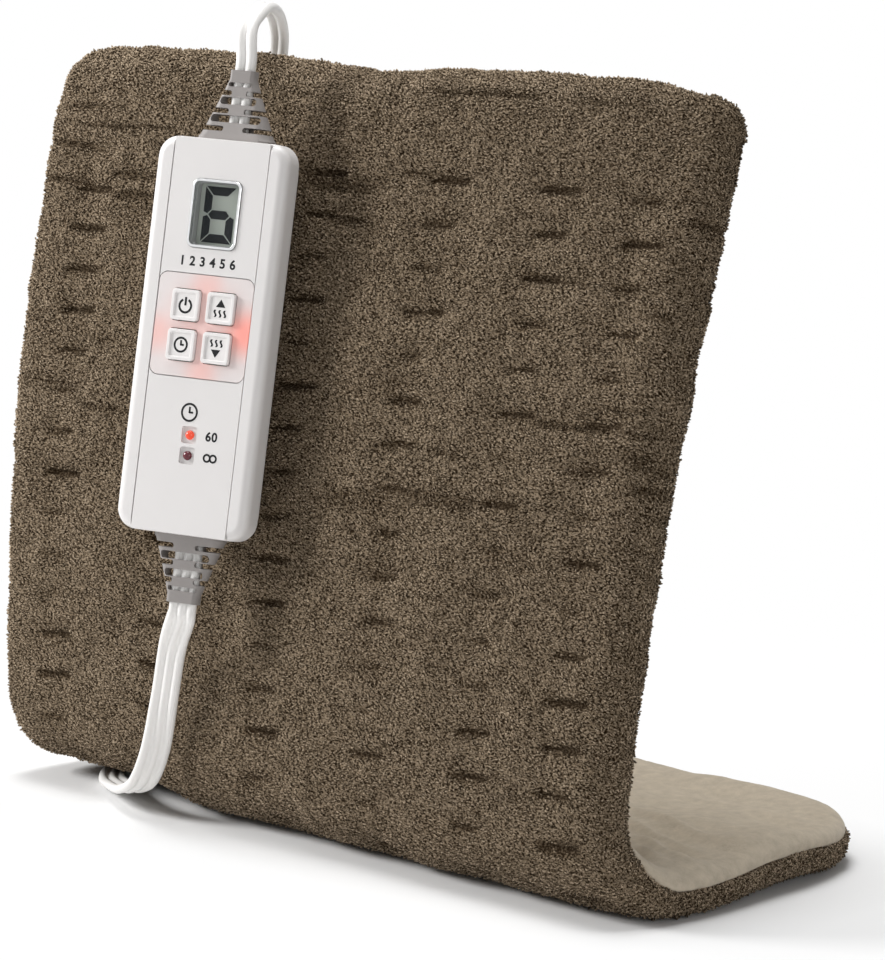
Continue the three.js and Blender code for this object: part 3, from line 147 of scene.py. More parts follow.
class PadSettings(bpy.types.PropertyGroup):
    """Fabric of the pad"""

    nap_height: FloatProperty(
        name="Nap height", description="How far the curls of the plush stand up",
        default=0.8 * MM, min=0, max=4 * MM, unit="LENGTH",
    )
    curl_size: FloatProperty(
        name="Curl size", description="Width of one curl of the plush",
        default=1.2 * MM, min=0.6 * MM, max=6 * MM, unit="LENGTH",
    )
    tack_depth: FloatProperty(
        name="Tack depth", description="How far the sewn tacks draw the plush in",
        default=2.0 * MM, min=0, max=4 * MM, unit="LENGTH",
    )
    puff: FloatProperty(
        name="Puff", description="Pressure of the filling between the tacks",
        default=4.0, min=0, max=20,
    )
    plush_colour: FloatVectorProperty(
        name="Plush", description="Colour of the curls", subtype="COLOR",
        default=(0.150, 0.110, 0.070), min=0, max=1,
    )
    # Painted shade: this dark colour stands for the shade deep between the curls, in the tack slits and in the
    # creases
    plush_painted_shade: FloatVectorProperty(
        name="Plush between curls", description="Colour deep between the curls", subtype="COLOR",
        default=(0.016, 0.008, 0.002), min=0, max=1,
    )
    # Painted highlight: this light colour stands for the light on the tops of the curls, mixed with their random
    # grain
    plush_tip_highlight: FloatVectorProperty(
        name="Plush tips", description="Colour of the tips of the curls", subtype="COLOR",
        default=(0.50, 0.396, 0.284), min=0, max=1,
    )
    fleece_colour: FloatVectorProperty(
        name="Fleece", description="Colour of the inner side", subtype="COLOR",
        default=(0.50, 0.432, 0.338), min=0, max=1,
    )


class ControllerSettings(bpy.types.PropertyGroup):
    """Finish of the hand controller"""

    face_round: FloatProperty(
        name="Face rounding", description="Rounding of the case round its face",
        default=3.4 * MM, min=0.5 * MM, max=4 * MM, unit="LENGTH",
    )
    back_round: FloatProperty(
        name="Back rounding", description="Rounding of the case round its back",
        default=6.5 * MM, min=1 * MM, max=8 * MM, unit="LENGTH",
    )
    case_colour: FloatVectorProperty(
        name="Case", description="Colour of the case", subtype="COLOR",
        default=(0.705, 0.684, 0.675), min=0, max=1,
    )
    rubber_colour: FloatVectorProperty(
        name="Strain reliefs", description="Colour of the slotted reliefs", subtype="COLOR",
        default=(0.265, 0.245, 0.235), min=0, max=1,
    )
    glow_colour: FloatVectorProperty(
        name="Glow", description="Colour of the lamps behind the keypad", subtype="COLOR",
        default=(1.0, 0.16, 0.11), min=0, max=1,
    )
    digit: IntProperty(name="Digit", description="Heat level on the display", default=6, min=0, max=9)


class CordSettings(bpy.types.PropertyGroup):
    """Cords of the pad"""

    mains_width: FloatProperty(
        name="Mains width", description="Width of the flat mains cord",
        default=7.3 * MM, min=3 * MM, max=12 * MM, unit="LENGTH",
    )
    mains_thick: FloatProperty(
        name="Mains thickness", description="Thickness of the flat mains cord",
        default=3.6 * MM, min=1.5 * MM, max=6 * MM, unit="LENGTH",
    )
    lead_width: FloatProperty(
        name="Lead width", description="Width of the flat lead to the pad",
        default=10 * MM, min=3 * MM, max=14 * MM, unit="LENGTH",
    )
    lead_thick: FloatProperty(
        name="Lead thickness", description="Thickness of the flat lead to the pad",
        default=3.2 * MM, min=1.5 * MM, max=6 * MM, unit="LENGTH",
    )
    cord_colour: FloatVectorProperty(
        name="Cord", description="Colour of the cords and the plug", subtype="COLOR",
        default=(0.80, 0.785, 0.765), min=0, max=1,
    )


class StageSettings(bpy.types.PropertyGroup):
    """Floor, light and camera"""

    floor_colour: FloatVectorProperty(
        name="Floor", description="Colour of the floor", subtype="COLOR",
        default=(0.90, 0.90, 0.90), min=0, max=1,
    )
    floor_white: FloatProperty(
        name="Floor white", description="How far the floor near the pad shows plain white",
        default=0.93, min=0, max=1,
    )
    floor_shaded: FloatProperty(
        name="Floor white in shade", description="The same on the side away from the key light",
        default=0.42, min=0, max=1,
    )
    key_power: FloatProperty(
        name="Key light", description="Power of the key light", default=15, min=0, unit="POWER",
    )
    fill_power: FloatProperty(
        name="Fill light", description="Power of the fill light", default=7, min=0, unit="POWER",
    )
    top_power: FloatProperty(
        name="Top light", description="Power of the light above", default=16, min=0, unit="POWER",
    )
    sky: FloatProperty(name="Sky", description="Strength of the light all round", default=0.14, min=0, max=2)
    lens: FloatProperty(name="Lens", description="Focal length", default=175.85, min=20, max=400)


class HeatingPadSettings(bpy.types.PropertyGroup):
    """All settings of the heating pad"""

    pad: PointerProperty(type=PadSettings)
    controller: PointerProperty(type=ControllerSettings)
    cords: PointerProperty(type=CordSettings)
    stage: PointerProperty(type=StageSettings)


# ---------------------------------------------------------------- materials


def new_finish(name, colour, roughness, **sockets):
    """A surface shader with its plain numbers set; returns the material, its nodes and the shader."""
    finish = bpy.data.materials.new(name)
    finish.use_nodes = True
    nodes = finish.node_tree.nodes
    shader = nodes["Principled BSDF"]
    shader.inputs["Base Color"].default_value = (*colour, 1)
    shader.inputs["Roughness"].default_value = roughness
    for socket, value in sockets.items():
        shader.inputs[socket.replace("_", " ")].default_value = value
    return finish, nodes, shader


def link(finish, start, end):
    finish.node_tree.links.new(start, end)


def feed(tree, value, socket):
    """Gives a socket a plain number or another node's output."""
    if isinstance(value, (int, float)):
        socket.default_value = value
    else:
        tree.links.new(value, socket)


def math_node(tree, operation, *values, clamp=False):
    """The result of a sum on numbers and outputs of other nodes."""
    node = tree.nodes.new("ShaderNodeMath")
    node.operation = operation
    node.use_clamp = clamp
    for value, socket in zip(values, node.inputs):
        feed(tree, value, socket)
    return node.outputs[0]


def map_range(tree, value, start, end, kind="LINEAR"):
    """A value moved from one span to another; the ends of the spans are numbers or outputs."""
    node = tree.nodes.new("ShaderNodeMapRange")
    node.interpolation_type = kind
    feed(tree, value, node.inputs["Value"])
    for name, limit in zip(("From Min", "From Max", "To Min", "To Max"), (*start, *end)):
        feed(tree, limit, node.inputs[name])
    return node.outputs["Result"]


def object_noise(finish, scale, detail=2.0, rough=0.5, stretch=None):
    """Noise that follows the object's own space."""
    nodes = finish.node_tree.nodes
    place = nodes.new("ShaderNodeTexCoord")
    noise = nodes.new("ShaderNodeTexNoise")
    noise.inputs["Scale"].default_value = scale
    noise.inputs["Detail"].default_value = detail
    noise.inputs["Roughness"].default_value = rough
    if stretch:
        mapping = nodes.new("ShaderNodeMapping")
        mapping.inputs["Scale"].default_value = stretch
        link(finish, place.outputs["Object"], mapping.inputs["Vector"])
        link(finish, mapping.outputs["Vector"], noise.inputs["Vector"])
    else:
        link(finish, place.outputs["Object"], noise.inputs["Vector"])
    return noise


def ramp(finish, source, stops):
    """Colours along a value; stops are (place, colour)."""
    node = finish.node_tree.nodes.new("ShaderNodeValToRGB")
    while len(node.color_ramp.elements) < len(stops):
        node.color_ramp.elements.new(0.5)
    for element, (place, colour) in zip(node.color_ramp.elements, stops):
        element.position = place
        element.color = (*colour, 1)
    link(finish, source, node.inputs["Fac"])
    return node


def roughen(finish, shader, source, strength, distance):
    """Fine relief from a value."""
    bump = finish.node_tree.nodes.new("ShaderNodeBump")
    bump.inputs["Strength"].default_value = strength
    bump.inputs["Distance"].default_value = distance
    link(finish, source, bump.inputs["Height"])
    link(finish, bump.outputs["Normal"], shader.inputs["Normal"])
    return bump


def shade(colour, factor):
    return tuple(min(1.0, part * factor) for part in colour)


def moulded(name, colour, roughness=0.4, mottle=0.03, grain=900, relief=0.06, **sockets):
    """Moulded plastic, rubber or metal: faint mottling and a fine grain."""
    finish, _, shader = new_finish(name, colour, roughness, **sockets)
    cloud = object_noise(finish, 45, 3)
    tint = ramp(finish, cloud.outputs["Fac"], [(0.3, shade(colour, 1 - mottle)), (0.7, shade(colour, 1 + mottle))])
    link(finish, tint.outputs["Color"], shader.inputs["Base Color"])
    fine = object_noise(finish, grain, 2)
    roughen(finish, shader, fine.outputs["Fac"], relief, 0.0002)
    return finish


def black_ink(name):
    return moulded(name, (0.008, 0.008, 0.009), 0.6, 0.1, Specular_IOR_Level=0.2)


# ---------------------------------------------------------------- modelling helpers


def start_clean():
    if bpy.context.object and bpy.context.object.mode != "OBJECT":
        bpy.ops.object.mode_set(mode="OBJECT")
    bpy.ops.object.select_all(action="DESELECT")


def activate(piece):
    """Makes the piece the active one and the only one selected."""
    start_clean()
    piece.select_set(True)
    bpy.context.view_layer.objects.active = piece


def edit_piece(piece):
    activate(piece)
    bpy.ops.object.mode_set(mode="EDIT")


def leave_edit():
    bpy.ops.object.mode_set(mode="OBJECT")


def pick(piece, kind, test):
    """Selects the vertices, edges or faces of the piece in edit mode that pass the test."""
    bpy.ops.mesh.select_mode(type=kind)
    bpy.ops.mesh.select_all(action="DESELECT")
    shape = bmesh.from_edit_mesh(piece.data)
    items = {"VERT": shape.verts, "EDGE": shape.edges, "FACE": shape.faces}[kind]
    chosen = [item for item in items if test(item)]
    for item in chosen:
        item.select_set(True)
    bmesh.update_edit_mesh(piece.data)
    if not chosen:
        raise RuntimeError(f"{piece.name}: nothing to select")


def block(name, low, high):
    """A cube stretched between two corners in millimetres, left in edit mode."""
    start_clean()
    bpy.ops.mesh.primitive_cube_add(size=1)
    piece = bpy.context.object
    piece.name = name
    bpy.ops.object.mode_set(mode="EDIT")
    bpy.ops.mesh.select_all(action="SELECT")
    size = [(b - a) * MM for a, b in zip(low, high)]
    middle = [(a + b) / 2 * MM for a, b in zip(low, high)]
    bpy.ops.transform.resize(value=size, center_override=(0, 0, 0))
    bpy.ops.transform.translate(value=middle)
    return piece


def along_z(edge):
    a, b = (vertex.co for vertex in edge.verts)
    return abs(a.z - b.z) > 1e-6 and (a.xy - b.xy).length < 1e-7


def at_height(z):
    return lambda item: all(abs(vertex.co.z - z * MM) < 1e-6 for vertex in item.verts)


def round_off(piece, test, width, steps):
    pick(piece, "EDGE", test)
    bpy.ops.mesh.bevel(offset=width * MM, segments=steps, affect="EDGES", profile=0.5)


def slab(name, middle, size, corner, low, high, top=0, bottom=0, steps=8):
    """A block with rounded upright edges and, if asked, a rounded top and bottom edge."""
    half = [side / 2 for side in size]
    piece = block(
        name,
        (middle[0] - half[0], middle[1] - half[1], low),
        (middle[0] + half[0], middle[1] + half[1], high),
    )
    round_off(piece, along_z, corner, steps)
    if top:
        round_off(piece, at_height(high), top, 5)
    if bottom:
        round_off(piece, at_height(low), bottom, 6)
    leave_edit()
    return piece


def apply_modifier(piece, modifier):
    activate(piece)
    bpy.ops.object.modifier_apply(modifier=modifier.name)


def combine(piece, other, operation="DIFFERENCE"):
    modifier = piece.modifiers.new(name=operation.title(), type="BOOLEAN")
    modifier.operation = operation
    modifier.solver = "EXACT"
    modifier.object = other
    apply_modifier(piece, modifier)
    bpy.data.meshes.remove(other.data)


def soften(piece, width, steps=2, angle=40):
    """Breaks the sharp edges and shades the rest smooth."""
    modifier = piece.modifiers.new(name="Soft edges", type="BEVEL")
    modifier.width = width * MM
    modifier.segments = steps
    modifier.limit_method = "ANGLE"
    modifier.angle_limit = radians(angle)
    modifier.harden_normals = False
    apply_modifier(piece, modifier)
    smooth_piece(piece)
    true_faces(piece)


def smooth_piece(piece, angle=40):
    activate(piece)
    bpy.ops.object.shade_smooth_by_angle(angle=radians(angle))


def true_faces(piece):
    """Lets the large flat faces set the shading of the small rounded ones beside them."""
    modifier = piece.modifiers.new(name="Flat faces", type="WEIGHTED_NORMAL")
    modifier.keep_sharp = True
    apply_modifier(piece, modifier)


def settle(piece, finish, body, nodes=(), matrix=None):
    """Puts a finished piece in its place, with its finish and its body."""
    start_clean()
    piece.data.name = piece.name
    if matrix is not None:
        piece.data.transform(matrix)
    piece.data.materials.clear()
    piece.data.materials.append(finish)
    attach(piece, body)
    if nodes:
        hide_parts(*nodes)
    return piece


def place_piece(shape):
    """The object of a new mesh."""
    piece = bpy.data.objects.new(shape.name, shape)
    bpy.context.scene.collection.objects.link(piece)
    return piece


def mesh_piece(name, points, faces):
    """A piece from points in metres and faces."""
    shape = bpy.data.meshes.new(name)
    shape.from_pydata([tuple(point) for point in points], [], [tuple(face) for face in faces])
    shape.update()
    return place_piece(shape)


def loft(name, stations, corner):
    """A rounded block drawn up through stations (height, width, thickness) along z."""
    low, width, thick = stations[0]
    first = stations[1][0] - low
    piece = slab(name, (0, 0), (width, thick), corner, low, low + first * 0.5, steps=5)
    edit_piece(piece)
    z, past = low + first * 0.5, (width, thick)
    for height, *size in stations[1:]:
        pick(piece, "FACE", at_height(z))
        bpy.ops.mesh.extrude_region_move(TRANSFORM_OT_translate={"value": (0, 0, (height - z) * MM)})
        shares = [new / old for new, old in zip(size, past)]
        bpy.ops.transform.resize(value=(*shares, 1), center_override=(0, 0, height * MM))
        z, past = height, size
    leave_edit()
    return piece


def arc_band(x, y, radius, width, start, end, count=20):
    """Outline of a part of a ring."""
    angles = np.radians(np.linspace(start, end, count))
    outer = [(x + (radius + width / 2) * cos(a), y + (radius + width / 2) * sin(a)) for a in angles]
    inner = [(x + (radius - width / 2) * cos(a), y + (radius - width / 2) * sin(a)) for a in angles[::-1]]
    return outer + inner


def ring_marks(x, y, radius, width):
    return [arc_band(x, y, radius, width, 0, 180), arc_band(x, y, radius, width, 180, 360)]


def bar_mark(x0, y0, x1, y1, width):
    way = Vector((x1 - x0, y1 - y0)).normalized() * width / 2
    return [(x0 + way.y, y0 - way.x), (x1 + way.y, y1 - way.x), (x1 - way.y, y1 + way.x), (x0 - way.y, y0 + way.x)]


def wave_mark(x, y, height, swing, width):
    rows = [(x + swing * sin(t * TAU), y + (t - 0.5) * height) for t in np.linspace(0, 1, 12)]
    return [(px + width / 2, py) for px, py in rows] + [(px - width / 2, py) for px, py in rows[::-1]]


def clock_marks(x, y, radius):
    return [
        *ring_marks(x, y, radius, 0.7),
        bar_mark(x, y - 0.2, x, y + radius * 0.66, 0.65),
        bar_mark(x - 0.2, y, x + radius * 0.5, y, 0.65),
    ]


def printed(name, outlines, level):
    """Thin printed marks on the face, from outlines in millimetres."""
    points, faces = [], []
    for outline in outlines:
        faces.append(tuple(range(len(points), len(points) + len(outline))))
        points += [(x * MM, y * MM, level * MM) for x, y in outline]
    piece = mesh_piece(name, points, faces)
    edit_piece(piece)
    bpy.ops.mesh.select_all(action="SELECT")
    bpy.ops.mesh.normals_make_consistent(inside=False)
    bpy.ops.mesh.extrude_region_move(TRANSFORM_OT_translate={"value": (0, 0, 0.05 * MM)})
    bpy.ops.mesh.select_all(action="SELECT")
    bpy.ops.mesh.normals_make_consistent(inside=False)
    leave_edit()
    return piece


def printed_number(name, text, middle, size, level):
    """Plain figures on the face."""
    start_clean()
    bpy.ops.object.text_add()
    figure = bpy.context.object
    figure.name = name
    figure.data.body = text
    figure.data.size = size * MM
    figure.data.align_x = "CENTER"
    figure.data.align_y = "CENTER"
    figure.data.extrude = 0.03 * MM
    figure.data.offset = 0.13 * MM
    figure.data.space_character = 1.1
    bpy.ops.object.convert(target="MESH")
    figure = bpy.context.object
    figure.data.transform(Matrix.Translation(Vector((*middle, level)) * MM))
    return figure


def face_map(piece):
    """A map of the piece by its place on the case's face: 0 to 1 over 100 millimetres from its middle."""
    layer = piece.data.uv_layers.new(name="face")
    for loop in piece.data.loops:
        place = piece.data.vertices[loop.vertex_index].co
        layer.data[loop.index].uv = (place.x / MM / 100 + 0.5, place.y / MM / 100 + 0.5)


# ---------------------------------------------------------------- pad form


def smooth_step(value, low, high):
    t = np.clip((value - low) / (high - low), 0, 1)
    return t * t * (3 - 2 * t)


def across(x, left, right):
    return left + (right - left) * (x / PAD_WIDTH + 0.5)


def on_pad(x, u, n):
    """Points of the folded pad in the fold frame: x across, u along from the base's end, n out of the plush."""
    sag = SAG_MIDDLE * np.exp(-(((x + 4) / 26) ** 2))
    sag = sag + SAG_RIGHT * smooth_step(x, 108, 150) + SAG_LEFT * smooth_step(-x, 95, 125)
    near_side = np.clip((x - PAD_WIDTH / 2) / TOP_CORNER + 1, 0, 1)
    near_top = np.clip((u - PAD_LENGTH) / TOP_CORNER + 1, 0, 1)
    point = CORNER_POINT * (2 * near_side * near_top) ** 2
    x = x + point * near_side
    u = u + point * near_top
    u = u - sag * smooth_step(u, PAD_LENGTH - SAG_RUN, PAD_LENGTH)
    lean = across(x, LEAN_LEFT, LEAN_RIGHT)
    curl = across(x, CURL_LEFT, CURL_RIGHT)
    standing = np.clip((u - BASE_RUN - BEND_RUN) / (PAD_LENGTH - BASE_RUN - BEND_RUN), 0, 1)
    middle = PAD_THICK / 2 + LEAD_LIFT * smooth_step(-x, -LIFT_FROM, -LIFT_FULL) * (1 - standing)
    back = BASE_RUN - u
    swell = smooth_step(back, 12, 50) - smooth_step(back, 66, 92)
    middle = middle + BASE_SWELL * smooth_step(x, 70, 150) * swell
    angle = np.clip((u - BASE_RUN) / BEND_RUN, 0, 1) * (pi / 2 + lean)
    bend_y = -(MID_RADIUS + n) * np.sin(angle)
    bend_z = middle + MID_RADIUS - (MID_RADIUS + n) * np.cos(angle)
    tilt = lean + curl * (u - BASE_RUN - BEND_RUN)
    back_y = (np.cos(lean) - np.cos(tilt)) / curl - MID_RADIUS * np.cos(lean) - n * np.cos(tilt)
    back_z = (np.sin(tilt) - np.sin(lean)) / curl + MID_RADIUS * (1 + np.sin(lean)) + middle + n * np.sin(tilt)
    flat = u <= BASE_RUN
    upright = u >= BASE_RUN + BEND_RUN
    y = np.where(flat, BASE_RUN - u, np.where(upright, back_y, bend_y))
    z = np.where(flat, middle - n, np.where(upright, back_z, bend_z))
    flare = smooth_step(154 - u, 0, 36) * smooth_step(u, 30, 112)
    y = y + FLARE_BACK * flare * smooth_step(x, 128, 152)
    return np.stack([x + FLARE * flare * smooth_step(x, 95, 152), y, z], 1)


def corner_of(u):
    return np.where(u < PAD_LENGTH / 2, REAR_CORNER, TOP_CORNER)


def half_width(u, inset):
    """Half the pad's width at u, with its corners, drawn in by the inset."""
    corner = corner_of(u)
    from_end = np.minimum(u, PAD_LENGTH - u)
    reach = np.clip(corner - from_end, 0, corner - inset)
    return PAD_WIDTH / 2 - corner + np.sqrt(np.maximum((corner - inset) ** 2 - reach**2, 0))


def outward(x, u):
    """Unit directions out of the pad's outline, in its flat plane."""
    corner = corner_of(u)
    dx = np.sign(x) * np.maximum(np.abs(x) - (PAD_WIDTH / 2 - corner), 0)
    du = np.minimum(u - corner, 0) + np.maximum(u - (PAD_LENGTH - corner), 0)
    size = np.maximum(np.hypot(dx, du), 1e-9)
    return np.stack([dx / size, du / size], 1)


def pad_rows():
    """Places of the rows along the pad, closer round its corners."""
    rear, top = REAR_CORNER - EDGE_ROUND, TOP_CORNER - EDGE_ROUND
    rear_rows = [REAR_CORNER - rear * cos(radians(a)) for a in range(0, 90, 10)]
    straight = np.linspace(REAR_CORNER, PAD_LENGTH - TOP_CORNER, 62)
    top_rows = [PAD_LENGTH - TOP_CORNER + top * sin(radians(a)) for a in (22.5, 45, 67.5, 90)]
    return np.array([*rear_rows, *straight, *top_rows])


ROWS = pad_rows()
COLUMNS = 54


def pad_grid():
    """Flat places of the grid inside the rounded edge, row by row."""
    share = np.linspace(-1, 1, COLUMNS)
    x = half_width(ROWS, EDGE_ROUND)[:, None] * share[None, :]
    u = np.repeat(ROWS[:, None], COLUMNS, 1)
    return np.stack([x.ravel(), u.ravel()], 1)


def rim_order(rows, columns):
    """Indices of a grid's border, once round."""
    low = list(range(columns))
    right = [row * columns + columns - 1 for row in range(1, rows)]
    high = [(rows - 1) * columns + column for column in range(columns - 2, -1, -1)]
    left = [row * columns for row in range(rows - 2, 0, -1)]
    return low + right + high + left


RIM = rim_order(len(ROWS), COLUMNS)


def edge_profile(steps):
    """Steps round the edge, as (outward, depth below the plush, length along the surface)."""
    run, past, out = 0, (0, 0), []
    for step in steps:
        run += ((step[0] - past[0]) ** 2 + (step[1] - past[1]) ** 2) ** 0.5
        past = step
        out.append((*step, run))
    return np.array(out)


def base_edge():
    """Edge of the base: plush up to a seam halfway, fleece rolled over it."""
    steps = [(EDGE_ROUND * sin(a), 8.2 * (1 - cos(a))) for a in np.radians((22.5, 45, 67.5, 90))]
    steps.append((EDGE_ROUND - 0.7, SEAM_DEPTH))
    return steps + [(EDGE_ROUND * cos(a) + 0.4, 8.2 + 7.3 * sin(a)) for a in np.radians((35, 57, 76))]


def back_edge():
    """Edge of the upright: plush all round it, the seam on its back."""
    half = PAD_THICK / 2
    steps = [(EDGE_ROUND * sin(a), half * (1 - cos(a))) for a in np.radians((32, 68, 104, 136, 150))]
    return steps + [(2.3, PAD_THICK - 0.55), (1.5, PAD_THICK - 0.25), (0.7, PAD_THICK - 0.08)]


BASE_EDGE = edge_profile(base_edge())
BACK_EDGE = edge_profile(back_edge())


def edge_steps(u):
    """The steps round the edge at each u."""
    share = smooth_step(u, BASE_RUN + 6, BASE_RUN + BEND_RUN + 10)[:, None]
    return [low * (1 - share) + high * share for low, high in zip(BASE_EDGE, BACK_EDGE)]


SEAM_LOOP = 4


def grid_faces(start, flip, rows=len(ROWS), columns=COLUMNS):
    faces = []
    for row in range(rows - 1):
        for column in range(columns - 1):
            a = start + row * columns + column
            face = (a, a + 1, a + columns + 1, a + columns)
            faces.append(face[::-1] if flip else face)
    return faces


def band_faces(first, second):
    count = len(first)
    return [(first[k], second[k], second[(k + 1) % count], first[(k + 1) % count]) for k in range(count)]


def pad_shell():
    """The whole padded form as flat places: (x, u, depth), faces, and the index lists of its loops."""
    grid = pad_grid()
    count = len(grid)
    rim = grid[RIM]
    way = outward(*rim.T)
    places = [np.column_stack([grid, np.zeros(count)])]
    loops, size = [], count
    for step in edge_steps(rim[:, 1]):
        places.append(np.column_stack([rim + way * step[:, :1], step[:, 1]]))
        loops.append(list(range(size, size + len(rim))))
        size += len(rim)
    places.append(np.column_stack([grid, np.full(count, PAD_THICK)]))
    back_start = size
    faces = grid_faces(0, False) + grid_faces(back_start, True)
    chain = [RIM, *loops, [back_start + k for k in RIM]]
    for first, second in zip(chain, chain[1:]):
        faces += band_faces(first, second)
    return np.vstack(places), faces, loops, back_start


def fold(places):
    return on_pad(places[:, 0], places[:, 1], PAD_THICK / 2 - places[:, 2])


def chance(cells, seed):
    """A fixed number from 0 to 1 for each cell."""
    mixed = (cells[:, 0] * 73856093) ^ (cells[:, 1] * 19349663) ^ (seed * 83492791)
    mixed = (mixed & 0xFFFFFFFF) * 1274126177 & 0xFFFFFFFF
    mixed = (mixed ^ (mixed >> 15)) * 2246822519 & 0xFFFFFFFF
    return ((mixed ^ (mixed >> 13)) & 0xFFFF) / 65535


def drift(places, size, seed):
    """Soft random waves of that size, from -1 to 1."""
    spots = places / size
    cell = np.floor(spots).astype(np.int64)
    part = spots - cell
    part = part * part * (3 - 2 * part)
    value = 0
    for dx in (0, 1):
        for dy in (0, 1):
            weight = (part[:, 0] if dx else 1 - part[:, 0]) * (part[:, 1] if dy else 1 - part[:, 1])
            value = value + weight * chance(cell + (dx, dy), seed)
    return value * 2 - 1


def tack_places():
    """The sewn tacks as (x, u), in their columns."""
    tacks = []
    for x in TACK_COLUMNS:
        for row in range(-8, 16):
            u = TACK_FIRST + row * TACK_ROW
            if 22 < u < PAD_LENGTH - 30 and abs(x) < half_width(np.array([u]), 12)[0]:
                tacks.append((x, u))
    return np.array(tacks)


TACKS = tack_places()


def tack_dents(places):
    """How deep each flat place lies in a tack's slit, from 0 to 1."""
    depth = np.zeros(len(places))
    for k, (x, u) in enumerate(TACKS):
        luck = chance(np.array([[k, 7]]), 5)[0]
        dx = (places[:, 0] - x - 3 * (luck - 0.5)) / (6.5 + 4 * luck)
        du = (places[:, 1] - u - 0.06 * (places[:, 0] - x)) / 1.25
        near = np.clip(1 - dx**4, 0, 1) * np.exp(-(du**2))
        depth = np.maximum(depth, near * (0.25 + 0.75 * luck))
    return depth


def tack_draw(places):
    """The wide soft dip round each tack."""
    depth = np.zeros(len(places))
    for x, u in TACKS:
        dx = (places[:, 0] - x) / 15
        du = (places[:, 1] - u) / 5.5
        depth = np.maximum(depth, np.exp(-(dx**2) - du**2))
    return depth


def plush_lines(places):
    """Short creases across the upper plush, from 0 to 1, sunk in and darkened with painted shade."""
    wave = drift(places * (0.1, 1), 3.4, 55)
    broken = smooth_step(drift(places, 22, 57), -0.3, 0.3)
    return smooth_step(wave, 0.35, 0.75) * broken * smooth_step(places[:, 1], 190, 270)


# Soft ridges of the fleece beside the fold, as (x, u, slope, half length, height)
FOLD_CREASES = (
    (128, 96, 0.55, 24, 2.6), (118, 84, 0.35, 30, 2.3), (132, 106, 0.8, 14, 2.6), (110, 70, 0.3, 34, 1.9),
)
CREASE_HALF = 2.4


# ---------------------------------------------------------------- pad pieces


FILLING_FRAMES = 20
PLUSH_PUSH = 2.6
FLEECE_PUSH = 1.6


def puffed_shell(settings):
    """The folded shell after its filling has pushed the fabric out between the tacks, in millimetres."""
    places, faces, loops, back_start = pad_shell()
    start = fold(places)
    form = mesh_piece("pad_form", to_row(start), faces)
    activate(form)
    held = list(loops[SEAM_LOOP])
    grid = places[:back_start]
    near = np.array([np.hypot((grid[:, 0] - x) / 2.2, grid[:, 1] - u).argmin() for x, u in TACKS])
    inner = near[near < len(ROWS) * COLUMNS]
    held += [int(k) for k in inner] + [int(k) + back_start for k in inner]
    group = form.vertex_groups.new(name="tacked")
    group.add(held, 1.0, "REPLACE")
    cloth = form.modifiers.new(name="Filling", type="CLOTH")
    fabric = cloth.settings
    fabric.vertex_group_mass = "tacked"
    fabric.use_pressure = True
    fabric.uniform_pressure_force = settings.puff
    fabric.effector_weights.gravity = 0
    fabric.mass = 0.3
    fabric.tension_stiffness = 12
    fabric.compression_stiffness = 12
    fabric.shear_stiffness = 4
    fabric.bending_stiffness = 0.4
    fabric.quality = 5
    cloth.collision_settings.use_collision = False
    cloth.point_cache.frame_start = 1
    cloth.point_cache.frame_end = FILLING_FRAMES
    for step in range(1, FILLING_FRAMES + 1):
        bpy.context.scene.frame_set(step)
    apply_modifier(form, cloth)
    moved = np.empty(len(places) * 3)
    form.data.vertices.foreach_get("co", moved)
    bpy.context.scene.frame_set(1)
    bpy.data.meshes.remove(form.data)
    moved = (moved.reshape(-1, 3) - np.array(ORIGIN)) / MM - start
    reach = np.linalg.norm(moved, axis=1)
    most = np.where(np.arange(len(places)) < back_start, PLUSH_PUSH, FLEECE_PUSH)
    moved *= (np.tanh(reach / most) * most / np.maximum(reach, 1e-9))[:, None]
    return places, start + moved, loops, back_start


def corner_vertices(piece):
    """The vertex of each face corner."""
    corner = np.empty(len(piece.data.loops), np.int64)
    piece.data.loops.foreach_get("vertex_index", corner)
    return corner


LAYOUT_MARGIN = 30
LAYOUT_SPAN = PAD_LENGTH + 2 * LAYOUT_MARGIN
LAYOUT_START = (LAYOUT_SPAN / 2, LAYOUT_MARGIN)


def flat_layout(name, piece, flat):
    """A map of the piece laid out flat, for its fabric."""
    layer = piece.data.uv_layers.new(name=name)
    uv = (flat[corner_vertices(piece)] + LAYOUT_START) / LAYOUT_SPAN
    layer.data.foreach_set("uv", uv.ravel())


def flat_places(piece, name):
    """The flat place of each vertex, in millimetres, back from the piece's map."""
    layer = piece.data.uv_layers[name]
    uv = np.empty(len(piece.data.loops) * 2)
    layer.data.foreach_get("uv", uv)
    flat = np.zeros((len(piece.data.vertices), 2))
    flat[corner_vertices(piece)] = uv.reshape(-1, 2) * LAYOUT_SPAN - LAYOUT_START
    return flat


def subdivide_smooth(piece, levels):
    modifier = piece.modifiers.new(name="Finer", type="SUBSURF")
    modifier.levels = levels
    modifier.render_levels = levels
    modifier.uv_smooth = "NONE"
    apply_modifier(piece, modifier)


def vertex_arrays(piece):
    count = len(piece.data.vertices)
    place = np.empty(count * 3)
    piece.data.vertices.foreach_get("co", place)
    normal = np.empty(count * 3)
    piece.data.vertex_normals.foreach_get("vector", normal)
    return place.reshape(-1, 3), normal.reshape(-1, 3)


def move_vertices(piece, place):
    piece.data.vertices.foreach_set("co", place.ravel())
    piece.data.update()
    smooth_piece(piece, 180)


def store(piece, name, values):
    layer = piece.data.attributes.new(name=name, type="FLOAT", domain="POINT")
    layer.data.foreach_set("value", np.asarray(values, np.float32))


